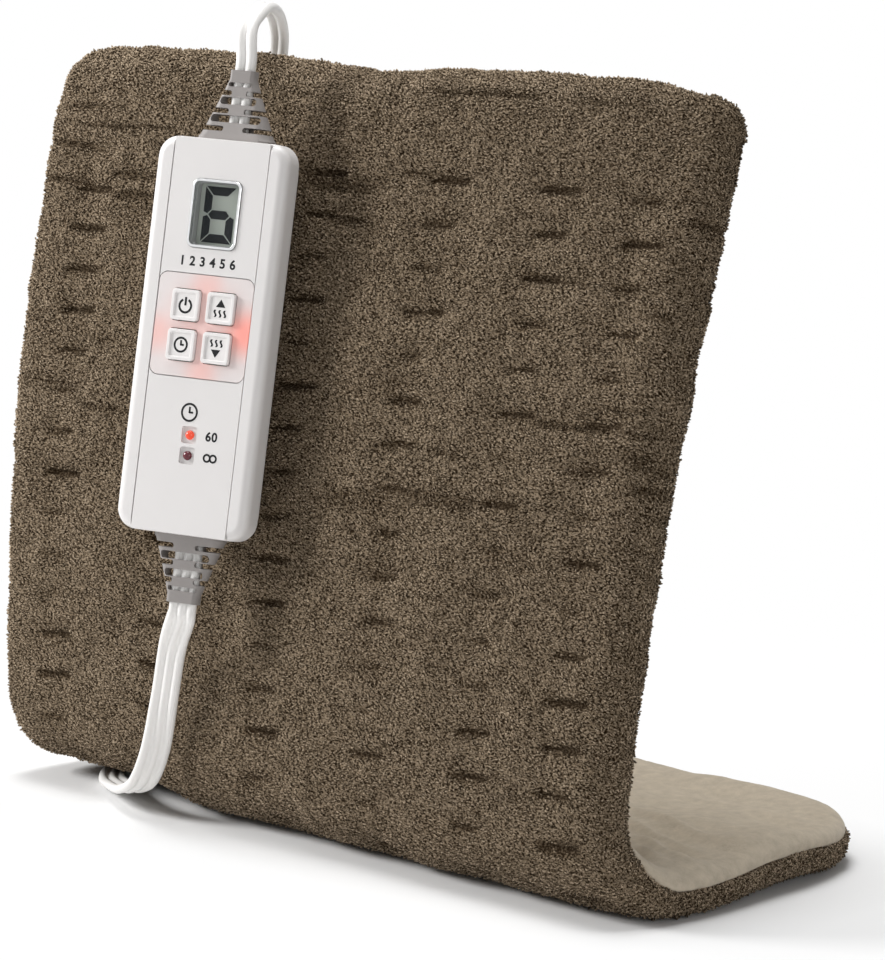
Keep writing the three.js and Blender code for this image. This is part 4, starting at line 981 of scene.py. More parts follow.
def plush_finish(settings):
    """Brown plush: painted shade between the curls and a painted highlight on their tops."""
    finish, nodes, shader = new_finish(
        "curly_plush", settings.plush_colour, 0.95, Specular_IOR_Level=0.06,
        Sheen_Weight=0.06, Sheen_Roughness=0.5, Sheen_Tint=(0.8, 0.7, 0.58, 1),
    )
    # This attribute carries each vertex's random tone together with its painted light and shade
    nap_tone_and_painted_light = nodes.new("ShaderNodeAttribute")
    nap_tone_and_painted_light.attribute_name = "nap_tone_and_painted_light"
    fine = object_noise(finish, 1700, 3, 0.7, (0.6, 1, 1))
    grain = map_range(finish.node_tree, fine.outputs["Fac"], (0.38, 0.54), (0, 1))
    mixed = nodes.new("ShaderNodeMix")
    mixed.inputs["Factor"].default_value = 0.42
    link(finish, nap_tone_and_painted_light.outputs["Fac"], mixed.inputs["A"])
    link(finish, grain, mixed.inputs["B"])
    # The ramp runs from painted shade through the plush colour to a painted highlight
    tint = ramp(
        finish, mixed.outputs["Result"],
        [(0.33, settings.plush_painted_shade), (0.51, settings.plush_colour), (0.82, settings.plush_tip_highlight)],
    )
    link(finish, tint.outputs["Color"], shader.inputs["Base Color"])
    roughen(finish, shader, fine.outputs["Fac"], 0.8, 0.0006)
    return finish


def fleece_finish(settings):
    finish, _, shader = new_finish(
        "soft_fleece", settings.fleece_colour, 0.95, Specular_IOR_Level=0.15,
        Sheen_Weight=0.2, Sheen_Roughness=0.5, Sheen_Tint=(1.0, 0.95, 0.88, 1),
    )
    cloud = object_noise(finish, 260, 4, 0.65)
    tint = ramp(
        finish, cloud.outputs["Fac"],
        [(0.3, shade(settings.fleece_colour, 0.86)), (0.7, shade(settings.fleece_colour, 1.1))],
    )
    link(finish, tint.outputs["Color"], shader.inputs["Base Color"])
    fine = object_noise(finish, 1500, 3, 0.6)
    roughen(finish, shader, fine.outputs["Fac"], 0.5, 0.0005)
    return finish


CURL_BANDS = ("base", "fold", "lower", "middle", "upper")
# Cross sections along a curl, as (place along it, rise, width, tone of its top), and the tone of its sides; these
# tones paint light and shade: a painted highlight on the top, painted shade on the sides and the sunk ends
CURL_SECTIONS = ((-0.5, 0.05, 0.4, 0.25), (-0.17, 0.8, 1, 0.95), (0.2, 0.9, 1, 1), (0.5, 0.45, 0.4, 0.6))
CURL_SIDE_SHADE = 0.12


def curl_pieces(plush, settings):
    """Short bent curls of pile all over the plush, few on what lies on the floor, in bands up the pad."""
    flat = flat_places(plush, "OFBake")
    place, normal = vertex_arrays(plush)
    place = place / MM
    luck = np.random.default_rng(12)
    dents = tack_dents(flat)
    keep = (luck.random(len(flat)) > 2.0 * dents - 0.35) & (
        (place[:, 2] > 1.6) | (luck.random(len(flat)) < 0.2)
    )
    flat, place, normal, dents = flat[keep], place[keep], normal[keep], dents[keep]
    count = len(flat)
    wide = np.cross(normal, (0.02, 0.31, 0.95))
    wide /= np.maximum(np.linalg.norm(wide, axis=1), 1e-6)[:, None]
    along = np.cross(wide, normal)
    turn = luck.normal(0.2, 0.5, count) + 0.6 * drift(flat, 9, 5)
    run = wide * np.cos(turn)[:, None] + along * np.sin(turn)[:, None]
    side = np.cross(normal, run)
    base = place + wide * luck.uniform(-0.65, 0.65, (count, 1)) + along * luck.uniform(-0.65, 0.65, (count, 1))
    length = settings.curl_size / MM * luck.uniform(0.8, 1.35, count)
    height = settings.nap_height / MM * luck.uniform(0.6, 1.25, count) * (1 - 0.5 * dents)
    width = 0.56 * settings.curl_size / MM * luck.uniform(0.8, 1.25, count)
    upright = (luck.random(count) < 0.3) * luck.uniform(0.2, 0.7, count)
    bow = luck.uniform(-0.3, 0.3, count)
    rings = []
    lit_tops_shaded_sides = []
    for t, rise, wide_share, tone in CURL_SECTIONS:
        middle = base + run * (length * t)[:, None] + side * (length * bow * (4 * t * t - 0.4))[:, None]
        lift = height * rise + upright * height * max(t + 0.1, 0) * 2.2
        half = width * wide_share / 2
        top = middle + normal * lift[:, None]
        low = middle + normal * (lift - 1.1 * half - 0.25)[:, None]
        rings += [low - side * half[:, None], top, low + side * half[:, None]]
        lit_tops_shaded_sides += [CURL_SIDE_SHADE, tone, CURL_SIDE_SHADE]
    points = np.stack(rings, 1) * MM
    points[:, :, 2] = np.maximum(points[:, :, 2], 0.0001)
    # Each curl's tone: random patches, darkened in the creases and the tack slits as painted shade
    patch = 0.8 + 0.14 * drift(flat, 7, 15) + luck.uniform(-0.2, 0.2, count)
    patch -= 0.4 * plush_lines(flat) + 0.35 * dents
    # The curl's tone times its painted light and shade, kept on each vertex
    nap_tone_and_painted_light = np.clip(np.array(lit_tops_shaded_sides)[None] * patch[:, None], 0, 1)
    quads = [(3 * k + a, 3 * k + a + 1, 3 * k + a + 4, 3 * k + a + 3) for k in range(3) for a in (0, 1)]
    pieces = []
    upwards = np.argsort(flat[:, 1], kind="stable")
    for band, part in zip(CURL_BANDS, np.array_split(upwards, len(CURL_BANDS))):
        faces = (np.arange(len(part))[:, None, None] * 12 + np.array(quads)[None]).reshape(-1, 4)
        piece = quad_piece(f"plush_curls_{band}", points[part].reshape(-1, 3), faces)
        store(piece, "nap_tone_and_painted_light", nap_tone_and_painted_light[part].ravel())
        cell_map(piece, flat[part], faces)
        pieces.append(piece)
    return pieces


def quad_piece(name, points, faces):
    """A piece from many points in metres and four-sided faces."""
    shape = bpy.data.meshes.new(name)
    shape.vertices.add(len(points))
    shape.vertices.foreach_set("co", points.ravel())
    shape.loops.add(faces.size)
    shape.loops.foreach_set("vertex_index", faces.ravel().astype(np.int32))
    shape.polygons.add(len(faces))
    shape.polygons.foreach_set("loop_start", np.arange(0, faces.size, 4, dtype=np.int32))
    shape.polygons.foreach_set("use_smooth", np.ones(len(faces), bool))
    shape.update(calc_edges=True)
    shape.validate()
    return place_piece(shape)


def cell_map(piece, flat, faces):
    """A map on which each curl has a small square of its own, near its place on the pad."""
    count = len(flat)
    across_count = int(np.ceil(count**0.5))
    order = np.lexsort((flat[:, 0], np.floor(flat[:, 1] / 1.5)))
    rank = np.empty(count, np.int64)
    rank[order] = np.arange(count)
    cell = np.stack([rank % across_count, rank // across_count], 1)
    spot = np.array([(column / 2, row / 3) for row in range(4) for column in range(3)])
    uv = (cell[:, None] + 0.1 + 0.8 * spot[None]).reshape(-1, 2) / across_count
    layer = piece.data.uv_layers.new(name="OFBake")
    layer.data.foreach_set("uv", uv[faces.ravel()].ravel())


class HEATPAD_OT_pad(bpy.types.Operator):
    """Sews the padded pad: plush outside and round the edges, fleece inside"""

    bl_idname = "heatpad.pad"
    bl_label = "Pad"

    def execute(self, context):
        settings = context.scene.heating_pad.pad
        places, shape, loops, back_start = puffed_shell(settings)
        self.make_plush(settings, places, shape, loops)
        self.make_fleece(settings, places, shape, loops, back_start)
        white = moulded("white_batting", (0.8, 0.78, 0.74), 0.95, 0.08, 500, 0.5)
        self.make_filling("front_filling", "front_batting", 4.8, 7.6, white)
        self.make_filling("rear_filling", "rear_batting", 8.6, 11.4, white)
        return {"FINISHED"}

    def make_filling(self, name, node, near, far, finish):
        """A soft layer inside the pad, from one depth below the plush to another."""
        rows, columns = 48, 36
        along = np.linspace(11, PAD_LENGTH - 11, rows)
        x = (half_width(along, 10.5)[:, None] * np.linspace(-1, 1, columns)).ravel()
        flat = np.column_stack([x, np.repeat(along, columns)])
        count = len(flat)
        places = [np.column_stack([flat, np.full(count, depth)]) for depth in (near, far)]
        faces = grid_faces(0, False, rows, columns) + grid_faces(count, True, rows, columns)
        rim = rim_order(rows, columns)
        faces += band_faces(rim, [count + k for k in rim])
        filling = mesh_piece(name, to_row(fold(np.vstack(places))), faces)
        smooth_piece(filling)
        settle(filling, finish, "pad_and_case", [node])

    def make_plush(self, settings, places, shape, loops):
        count = len(ROWS) * COLUMNS
        keep = count + len(RIM) * (SEAM_LOOP + 1)
        way = outward(*places[RIM][:, :2].T)
        seam = places[loops[SEAM_LOOP]]
        tuck = np.column_stack([seam[:, :2] - way * 2.2, seam[:, 2] + 0.3])
        points = np.vstack([shape[:keep], fold(tuck)])
        flat = places[:keep, :2].copy()
        for loop, step in zip(loops[: SEAM_LOOP + 1], edge_steps(places[RIM][:, 1])):
            flat[loop] = places[RIM][:, :2] + way * step[:, 2:]
        flat = np.vstack([flat, flat[loops[SEAM_LOOP]] + way * 2.2])
        faces = grid_faces(0, False)
        chain = [RIM, *loops[: SEAM_LOOP + 1], list(range(keep, keep + len(RIM)))]
        for first, second in zip(chain, chain[1:]):
            faces += band_faces(first, second)
        plush = mesh_piece("plush", to_row(points), faces)
        flat_layout("OFBake", plush, flat)
        subdivide_smooth(plush, 2)
        finish = plush_finish(settings)
        self.swell_plush(plush, settings)
        settle(plush, finish, "pad_and_case", ["plush_cover"])
        for curls in curl_pieces(plush, settings):
            settle(curls, finish, "pad_and_case")

    def swell_plush(self, plush, settings):
        """Sews in the tacks and gives the backing its slow unevenness."""
        flat = flat_places(plush, "OFBake")
        place, normal = vertex_arrays(plush)
        dents = tack_dents(flat)
        lift = 0.6 * drift(flat, 14, 51) + 0.35 * drift(flat, 5, 61) - 0.35 * settings.nap_height / MM
        lift -= 0.6 * plush_lines(flat)
        lift -= settings.tack_depth / MM * (dents + 0.45 * tack_draw(flat))
        lift *= 0.25 + 0.75 * smooth_step(place[:, 2] / MM, 0.5, 3.5)
        place = place + normal * (lift * MM)[:, None]
        place[:, 2] = np.maximum(place[:, 2], 0.0002)
        # The backing's tone is painted shade: dark between the curls, darker still in the tack slits and the
        # creases, with a random drift
        tone = 0.3 + 0.1 * drift(flat, 1.7, 41) - 0.6 * dents - 0.2 * plush_lines(flat)
        store(plush, "nap_tone_and_painted_light", np.clip(tone, 0, 1))
        move_vertices(plush, place)

    def make_fleece(self, settings, places, shape, loops, back_start):
        way = outward(*places[RIM][:, :2].T)
        seam = places[loops[SEAM_LOOP]]
        tuck = fold(np.column_stack([seam[:, :2] - way * 2.4, seam[:, 2] - 0.4]))
        rims = [shape[loop] for loop in loops[SEAM_LOOP:]]
        points = np.vstack([tuck, *rims, shape[back_start:]])
        ring = len(RIM)
        chain = [list(range(k * ring, (k + 1) * ring)) for k in range(len(rims) + 1)]
        start = ring * (len(rims) + 1)
        chain.append([start + k for k in RIM])
        faces = grid_faces(start, True)
        for first, second in zip(chain, chain[1:]):
            faces += band_faces(first, second)
        steps = edge_steps(places[RIM][:, 1])
        last = steps[-1][:, 2:] + 2
        flats = [places[RIM][:, :2] + way * (last - steps[SEAM_LOOP][:, 2:] + 2.4)]
        for step in steps[SEAM_LOOP:]:
            flats.append(places[RIM][:, :2] + way * (last - step[:, 2:]))
        flat = np.vstack([*flats, places[back_start:, :2]])
        fleece = mesh_piece("fleece", to_row(points), faces)
        flat_layout("OFBake", fleece, flat)
        subdivide_smooth(fleece, 2)
        self.wrinkle(fleece)
        settle(fleece, fleece_finish(settings), "pad_and_case", ["fleece_back"])

    def wrinkle(self, fleece):
        flat = flat_places(fleece, "OFBake")
        place, normal = vertex_arrays(fleece)
        draw = tack_draw(flat)
        slant = np.stack([flat @ (0.8, 0.6), flat @ (-0.25, 0.33)], 1)
        lift = 0.5 * drift(flat, 19, 71) + 0.9 * drift(slant, 13, 81) + 0.1 * drift(flat, 1.6, 91) - 0.5 * draw
        lift += 1.5 * drift(flat * (0.3, 1), 10.5, 75) * smooth_step(flat[:, 0], 52, 85)
        for x, u, slope, reach, high in FOLD_CREASES:
            along = flat[:, 0] - x
            off = (flat[:, 1] - u - slope * along) / CREASE_HALF
            lift += high * np.exp(-(off**2)) * smooth_step(reach - np.abs(along), 0, reach)
        from_side = half_width(flat[:, 1], 0) - np.abs(flat[:, 0])
        edge = np.minimum(from_side, np.minimum(flat[:, 1], PAD_LENGTH - flat[:, 1]))
        inside = smooth_step(edge, 0, 12)
        upright = smooth_step(flat[:, 1], BASE_RUN + 20, BASE_RUN + 50)
        lift = lift * (0.2 + 0.8 * inside) - 1.1 * upright * (1 - smooth_step(edge, -2, 7))
        move_vertices(fleece, place + normal * (lift * MM)[:, None])


# ---------------------------------------------------------------- cords


def spline(points, values, steps):
    """A smooth line through the points, with the values carried along between them."""
    points = np.asarray(points, float)
    values = np.asarray(values, float)
    ends = np.vstack([2 * points[0] - points[1], points, 2 * points[-1] - points[-2]])
    line, carried = [], []
    for k in range(len(points) - 1):
        p0, p1, p2, p3 = ends[k : k + 4]
        d0, d1, d2 = (max(np.linalg.norm(b - a), 1e-6) ** 0.5 for a, b in ((p0, p1), (p1, p2), (p2, p3)))
        m1 = ((p1 - p0) / d0 - (p2 - p0) / (d0 + d1) + (p2 - p1) / d1) * d1
        m2 = ((p2 - p1) / d1 - (p3 - p1) / (d1 + d2) + (p3 - p2) / d2) * d1
        count = max(1, round(np.linalg.norm(p2 - p1) / steps))
        for step in range(count):
            t = step / count
            line.append(
                p1 + m1 * t + (3 * (p2 - p1) - 2 * m1 - m2) * t**2 + (2 * (p1 - p2) + m1 + m2) * t**3
            )
            carried.append(values[k] * (1 - t) + values[k + 1] * t)
    return np.array([*line, points[-1]]), np.array([*carried, values[-1]])


def cord_section(width, thick, cores):
    """Outline of a flat cord of round cores side by side, in its width and thickness."""
    radius = thick / 2
    pitch = (width - thick) / (cores - 1)
    groove = 152
    outline = []

    def arc(middle, start, end, count):
        for a in np.radians(np.linspace(start, end, count)):
            outline.append((middle + radius * cos(a), radius * sin(a)))

    arc((cores - 1) * pitch / 2, -groove, groove, 13)
    for core in range(cores - 2, 0, -1):
        arc(core * pitch - (cores - 1) * pitch / 2, 180 - groove, groove, 6)
    arc(-(cores - 1) * pitch / 2, 180 - groove, 180 + groove, 13)
    for core in range(1, cores - 1):
        arc(core * pitch - (cores - 1) * pitch / 2, 360 - groove, 180 + groove, 6)
    return np.array(outline)


def swept_cord(name, line, sides, section):
    """A tube of that section along the line; sides are the directions of its width."""
    ahead = np.gradient(line, axis=0)
    ahead /= np.linalg.norm(ahead, axis=1)[:, None]
    sides = sides - ahead * np.sum(sides * ahead, 1)[:, None]
    sides /= np.linalg.norm(sides, axis=1)[:, None]
    over = np.cross(ahead, sides)
    rings = line[:, None] + sides[:, None] * section[None, :, :1] + over[:, None] * section[None, :, 1:]
    count, size = len(line), len(section)
    faces = []
    for ring in range(count - 1):
        for k in range(size):
            a, b = ring * size + k, ring * size + (k + 1) % size
            faces.append((a, b, b + size, a + size))
    faces.append(tuple(range(size))[::-1])
    faces.append(tuple(range((count - 1) * size, count * size)))
    return mesh_piece(name, to_row(rings.reshape(-1, 3)), faces)


def coil_route(x, y, inner, turns, start, way, spare, floor, width, thick):
    """A coil in two layers, in along the lower one and out along the upper one, with a short run at each end."""
    points = []
    for k in range(round(2 * turns * 24) + 1):
        t = k / 24 - turns
        radius = inner + (thick + spare) * abs(t)
        angle = radians(start) + way * (t + turns) * TAU
        rise = min(max((t + 0.25) / 0.5, 0), 1)
        rise = rise * rise * (3 - 2 * rise)
        points.append((x + radius * cos(angle), y + radius * sin(angle), floor + width / 2 + (width + spare) * rise))
    points = np.array(points)
    first = (points[0] - points[1]) / np.linalg.norm(points[0] - points[1])
    last = (points[-1] - points[-2]) / np.linalg.norm(points[-1] - points[-2])
    ends = points[0] + first * 2 * width, points[-1] + last * (width + thick)
    return [(point, UPWARDS) for point in (ends[0], *points, ends[1])]


RIGHT = np.array(CASE_TURN.to_3x3().col[0])
SIDEWAYS = (1, 0, 0)
UPWARDS = (0, 0, 1)
PLUG_PLACE = (42, 44, 27.3)
PLUG_HEADING = radians(-86)


def mains_route(width, thick):
    """Points and width directions of the mains cord, from the case to the plug."""
    top = CASE_LENGTH / 2
    route = [(on_case(0, top + along, RELIEF_LEVEL), RIGHT) for along in (3, 11.75, 23.5, 27.1)]
    route.append(((-37.5, -6, 268), RIGHT))
    for point in (
        (-42, 2, 272.6), (-49, 12, 274.2), (-57.5, 23, 270.3), (-65, 31, 262), (-70.5, 34, 249), (-74.5, 32, 215),
        (-76, 24, 150), (-77, 14, 80), (-77, 8, 42), (-76.5, 11, 27), (-74, 22, 21.4),
    ):
        route.append((point, SIDEWAYS))
    route.append(((-69, 40, 20.8), (0.6, 0, 0.8)))
    route += coil_route(-15, 59, 32.5, 3.2, 165, -1, 0.7, 15.8, width, thick)
    heading = np.array((cos(PLUG_HEADING), sin(PLUG_HEADING), 0))
    place = np.array(PLUG_PLACE)
    route.append((place - heading * width, UPWARDS))
    route.append((place + heading * 2, UPWARDS))
    return route


def lead_route(width, thick):
    """Points and width directions of the lead, from the case to the clip in the pad's edge."""
    low = -CASE_LENGTH / 2
    route = [(on_case(0, low - along, RELIEF_LEVEL), RIGHT) for along in (3, 11.25, 22.5, 25.7)]
    route += [((-42, -36.3, 64), RIGHT), ((-49, -34.5, 44.5), RIGHT)]
    route += [
        ((-57, -32.6, 24.5), (0.7, 0.7, 0)), ((-65.5, -31, 12.8), (0.62, 0.78, 0)),
        ((-78, -26.8, 7.4), (0.55, 0.83, 0)), ((-94, -18.5, 4.6), (0.5, 0.86, 0)),
        ((-111, -8.5, 2.6), (0.5, 0.86, 0)), ((-122, 2.5, 2.2), (0.8, 0.6, 0)),
        ((-124, 19, 2.2), (1, 0.1, 0)), ((-121, 42, 2.2), (1, 0, 0)), ((-121.5, 66, 2.2), (1, 0.1, 0)),
        ((-127, 87, 2.2), (0.85, 0.5, 0)), ((-139, 101.5, 2.4), (0.6, 0.8, 0)),
        ((-153, 107.5, 4), (0.2, 0.7, 0.7)),
    ]
    route += coil_route(-185, 81, 22, 1.25, 90, 1, 1.1, 0.3, width, thick)
    route += [
        ((-163.5, 55.3, 12.9), (0, 0.8, 0.6)), ((-156.5, 55, 12.3), (0, 1, 0)), ((-149.3, 55, 12.3), (0, 1, 0)),
    ]
    return route


class HEATPAD_OT_cords(bpy.types.Operator):
    """Lays the mains cord up to its plug and the lead to the pad"""

    bl_idname = "heatpad.cords"
    bl_label = "Cords"

    def execute(self, context):
        settings = context.scene.heating_pad.cords
        vinyl = moulded("white_vinyl", settings.cord_colour, 0.42, 0.025, 700, 0.05, Specular_IOR_Level=0.4)
        plug = ["plug_shell", "plug_blade_line", "plug_blade_neutral"]
        self.lay(
            "mains_cable", mains_route, settings.mains_width / MM, settings.mains_thick / MM, 2, vinyl,
            ["mains_cord", "mains_coil", "mains_tail"], "plug", plug,
        )
        self.lay(
            "lead_cable", lead_route, settings.lead_width / MM, settings.lead_thick / MM, 3, vinyl,
            ["pad_lead", "lead_coil", "lead_tail"], "object", [],
        )
        return {"FINISHED"}

    def lay(self, name, route, width, thick, cores, finish, nodes, far_end, pieces):
        points, sides = zip(*route(width, thick))
        line, sides = spline(points, sides, 2.2)
        piece = swept_cord(name, line, sides, cord_section(width, thick, cores))
        settle(piece, finish, "pad_and_case", nodes)
        smooth_piece(piece, 50)


# ---------------------------------------------------------------- controller


class HEATPAD_OT_case(bpy.types.Operator):
    """Moulds the two shells of the case and its inlaid face strips"""

    bl_idname = "heatpad.case"
    bl_label = "Case"

    def execute(self, context):
        settings = context.scene.heating_pad.controller
        white = moulded("case_white", settings.case_colour, 0.38, 0.012, 1400, 0.05, Specular_IOR_Level=0.45)
        front = slab(
            "front_shell", (0, 0), (CASE_WIDTH + 1.6, CASE_LENGTH), CASE_CORNER, PARTING + 0.25, 0,
            top=settings.face_round / MM,
        )
        hollow = slab("hollow", (0, 0), (CASE_WIDTH - 4, CASE_LENGTH - 4), CASE_CORNER - 2, -20, -3.6)
        combine(front, hollow)
        channel = slab("channel", (0, 0), (STRIP_WIDTH + 0.7, CASE_LENGTH + 4), 0.3, -1.6, 2)
        combine(front, channel)
        well = slab("well", (0, LCD_Y), (16.8, 21.3), 1.8, -6, 2)
        combine(front, well)
        for x in (-1, 1):
            for y in (-1, 1):
                hole = slab(
                    "hole", (x * KEY_SPACING / 2, KEYPAD_Y + y * KEY_SPACING / 2), (KEY_SIZE + 0.6,) * 2, 2, -6, 2,
                )
                combine(front, hole)
        soften(front, 0.25, 2)
        settle(front, white, "pad_and_case", ["front_housing"], CASE)
        rear = slab(
            "rear_shell", (0, 0), (CASE_WIDTH - 0.3, CASE_LENGTH - 0.3), CASE_CORNER, -CASE_DEPTH, PARTING - 0.25,
            bottom=settings.back_round / MM,
        )
        edit_piece(rear)
        pick(rear, "VERT", lambda corner: corner.co.z < (PARTING - 1) * MM)
        bpy.ops.transform.resize(value=(0.88, 0.97, 1), center_override=(0, 0, 0))
        leave_edit()
        hollow = slab(
            "hollow", (0, 0), (CASE_WIDTH - 7.5, CASE_LENGTH - 7.5), CASE_CORNER - 2, -CASE_DEPTH + 2, 0,
            bottom=4.5,
        )
        combine(rear, hollow)
        soften(rear, 0.25, 2)
        settle(rear, white, "pad_and_case", ["rear_housing"], CASE)
        half = CASE_LENGTH / 2
        panel_top = KEYPAD_Y + KEYPAD_LENGTH / 2
        panel_low = KEYPAD_Y - KEYPAD_LENGTH / 2
        for name, node, low, high in (
            ("upper_strip", "upper_face_strip", panel_top - 3.2, half - 0.35),
            ("lower_strip", "lower_face_strip", -half + 0.35, panel_low + 3.2),
        ):
            strip = slab(name, (0, (low + high) / 2), (STRIP_WIDTH, high - low), 0.4, -1.6, -0.1)
            if node == "upper_face_strip":
                combine(strip, slab("well", (0, LCD_Y), (18.6, 23.1), 2.6, -6, 2))
            else:
                for y in LAMP_Y:
                    combine(strip, slab("pocket", (0, y), (5.6, 5.6), 0.8, -0.9, 2))
            room = slab("room", (0, KEYPAD_Y), (STRIP_WIDTH + 0.4, KEYPAD_LENGTH + 0.5), 3.2, -6, 2)
            combine(strip, room)
            soften(strip, 0.18, 2)
            settle(strip, white, "pad_and_case", [node], CASE)
        return {"FINISHED"}


# Lit spots of the panel, as (place, reach in millimetres, strength)
PANEL_LAMPS = (
    ((17.6, 2.6), 13, 0.66), ((0.5, 18), 10, 0.2), ((1.5, -13), 10, 0.26), ((-17.8, 0), 11, 0.3),
    ((1.5, 3.2), 25, 0.26),
)


def glow_finish(settings):
    """Translucent panel lit red from behind near its lamps."""
    pale = (0.72, 0.665, 0.655)
    finish, nodes, shader = new_finish("lit_panel_glow", pale, 0.4, Specular_IOR_Level=0.4)
    tree = finish.node_tree
    place = nodes.new("ShaderNodeUVMap")
    place.uv_map = "face"
    total = 0
    for (x, y), reach, strength in PANEL_LAMPS:
        away = nodes.new("ShaderNodeVectorMath")
        away.operation = "DISTANCE"
        away.inputs[1].default_value = (x / 100 + 0.5, y / 100 + 0.5, 0)
        link(finish, place.outputs["UV"], away.inputs[0])
        near = map_range(tree, away.outputs["Value"], (0, reach / 100), (strength, 0), "SMOOTHERSTEP")
        total = math_node(tree, "ADD", total, near, clamp=True)
    cloud = object_noise(finish, 60, 2)
    stirred = math_node(tree, "MULTIPLY_ADD", cloud.outputs["Fac"], 0.12, total, clamp=True)
    # The base colour also turns red near the lamps: painted light from the lamps behind the panel
    tint = ramp(
        finish, stirred,
        [(0.05, pale), (0.5, (0.77, 0.47, 0.43)), (1.0, (0.82, 0.24, 0.19))],
    )
    link(finish, tint.outputs["Color"], shader.inputs["Base Color"])
    light = ramp(
        finish, stirred,
        [(0.1, (0, 0, 0)), (0.5, shade(settings.glow_colour, 0.09)), (1.0, shade(settings.glow_colour, 0.32))],
    )
    link(finish, light.outputs["Color"], shader.inputs["Emission Color"])
    shader.inputs["Emission Strength"].default_value = 0.8
    return finish


def key_marks(name, x, y):
    """The symbol printed on a key."""
    if name == "power":
        return [arc_band(x, y - 0.3, 2.2, 0.75, 118, 422, 30), bar_mark(x, y - 0.2, x, y + 2.6, 0.75)]
    if name == "timer":
        return clock_marks(x, y, 2.3)
    way = 1 if name == "heat_up" else -1
    marks = [[(x - 1.75, y + way * 0.4), (x + 1.75, y + way * 0.4), (x, y + way * 3.0)]]
    return marks + [wave_mark(x + step, y - way * 1.7, 2.4, 0.3, 0.7) for step in (-1.8, 0, 1.8)]


class HEATPAD_OT_keypad(bpy.types.Operator):
    """Makes the lit panel and its four keys"""

    bl_idname = "heatpad.keypad"
    bl_label = "Keypad"

    def execute(self, context):
        settings = context.scene.heating_pad.controller
        panel = slab("lit_panel", (0, KEYPAD_Y), (STRIP_WIDTH, KEYPAD_LENGTH), 3, -1.6, -0.12)
        places = {
            "power": (-1, 1), "heat_up": (1, 1), "timer": (-1, -1), "heat_down": (1, -1),
        }
        middles = {
            name: (x * KEY_SPACING / 2, KEYPAD_Y + y * KEY_SPACING / 2) for name, (x, y) in places.items()
        }
        for middle in middles.values():
            combine(panel, slab("hole", middle, (KEY_SIZE + 0.5,) * 2, 1.3, -6, 2))
        soften(panel, 0.2, 2)
        face_map(panel)
        settle(panel, glow_finish(settings), "pad_and_case", ["keypad_panel"], CASE)
        pale = moulded("key_pale", (0.77, 0.745, 0.735), 0.45, 0.012, 1400, 0.05, Specular_IOR_Level=0.4)
        ink = black_ink("printed_black")
        for name, (x, y) in middles.items():
            key = slab(f"{name}_key", (x, y), (KEY_SIZE,) * 2, 1.2, -3, 1.1)
            combine(key, slab("field", (x, y), (KEY_SIZE - 2.4,) * 2, 0.7, 0.6, 3))
            soften(key, 0.35, 3)
            settle(key, pale, f"key_{name}", [f"button_{name}"], CASE)
            mark = printed(f"{name}_mark", key_marks(name, x, y), 0.6)
            settle(mark, ink, f"key_{name}", (), CASE)
        return {"FINISHED"}


# The bars that each figure lights, from the top one clockwise and then the middle one
SEGMENTS = ("abcdef", "bc", "abged", "abgcd", "fgbc", "afgcd", "afgedc", "abc", "abcdefg", "abcdfg")


def digit_marks(digit, middle, width, height, thick):
    """The lit bars of a seven-bar figure."""
    a, b, t, g = width / 2, height / 2, thick, 0.28
    top = [(-a + g, b), (a - g, b), (a - t - g, b - t), (-a + t + g, b - t)]
    side = [(-a, b - g), (-a, t * 0.3), (-a + t * 0.5, g), (-a + t, t / 2 + g), (-a + t, b - t - g)]
    bar = [
        (-a + t * 0.55 + g, 0), (-a + t + g, -t / 2), (a - t - g, -t / 2), (a - t * 0.55 - g, 0), (a - t - g, t / 2),
        (-a + t + g, t / 2),
    ]
    flips = {
        "a": (top, 1, 1), "d": (top, 1, -1), "f": (side, 1, 1), "e": (side, 1, -1), "b": (side, -1, 1),
        "c": (side, -1, -1), "g": (bar, 1, 1),
    }
    marks = []
    for name in SEGMENTS[digit]:
        outline, sx, sy = flips[name]
        marks.append([(middle[0] + x * sx, middle[1] + y * sy) for x, y in outline])
    return marks


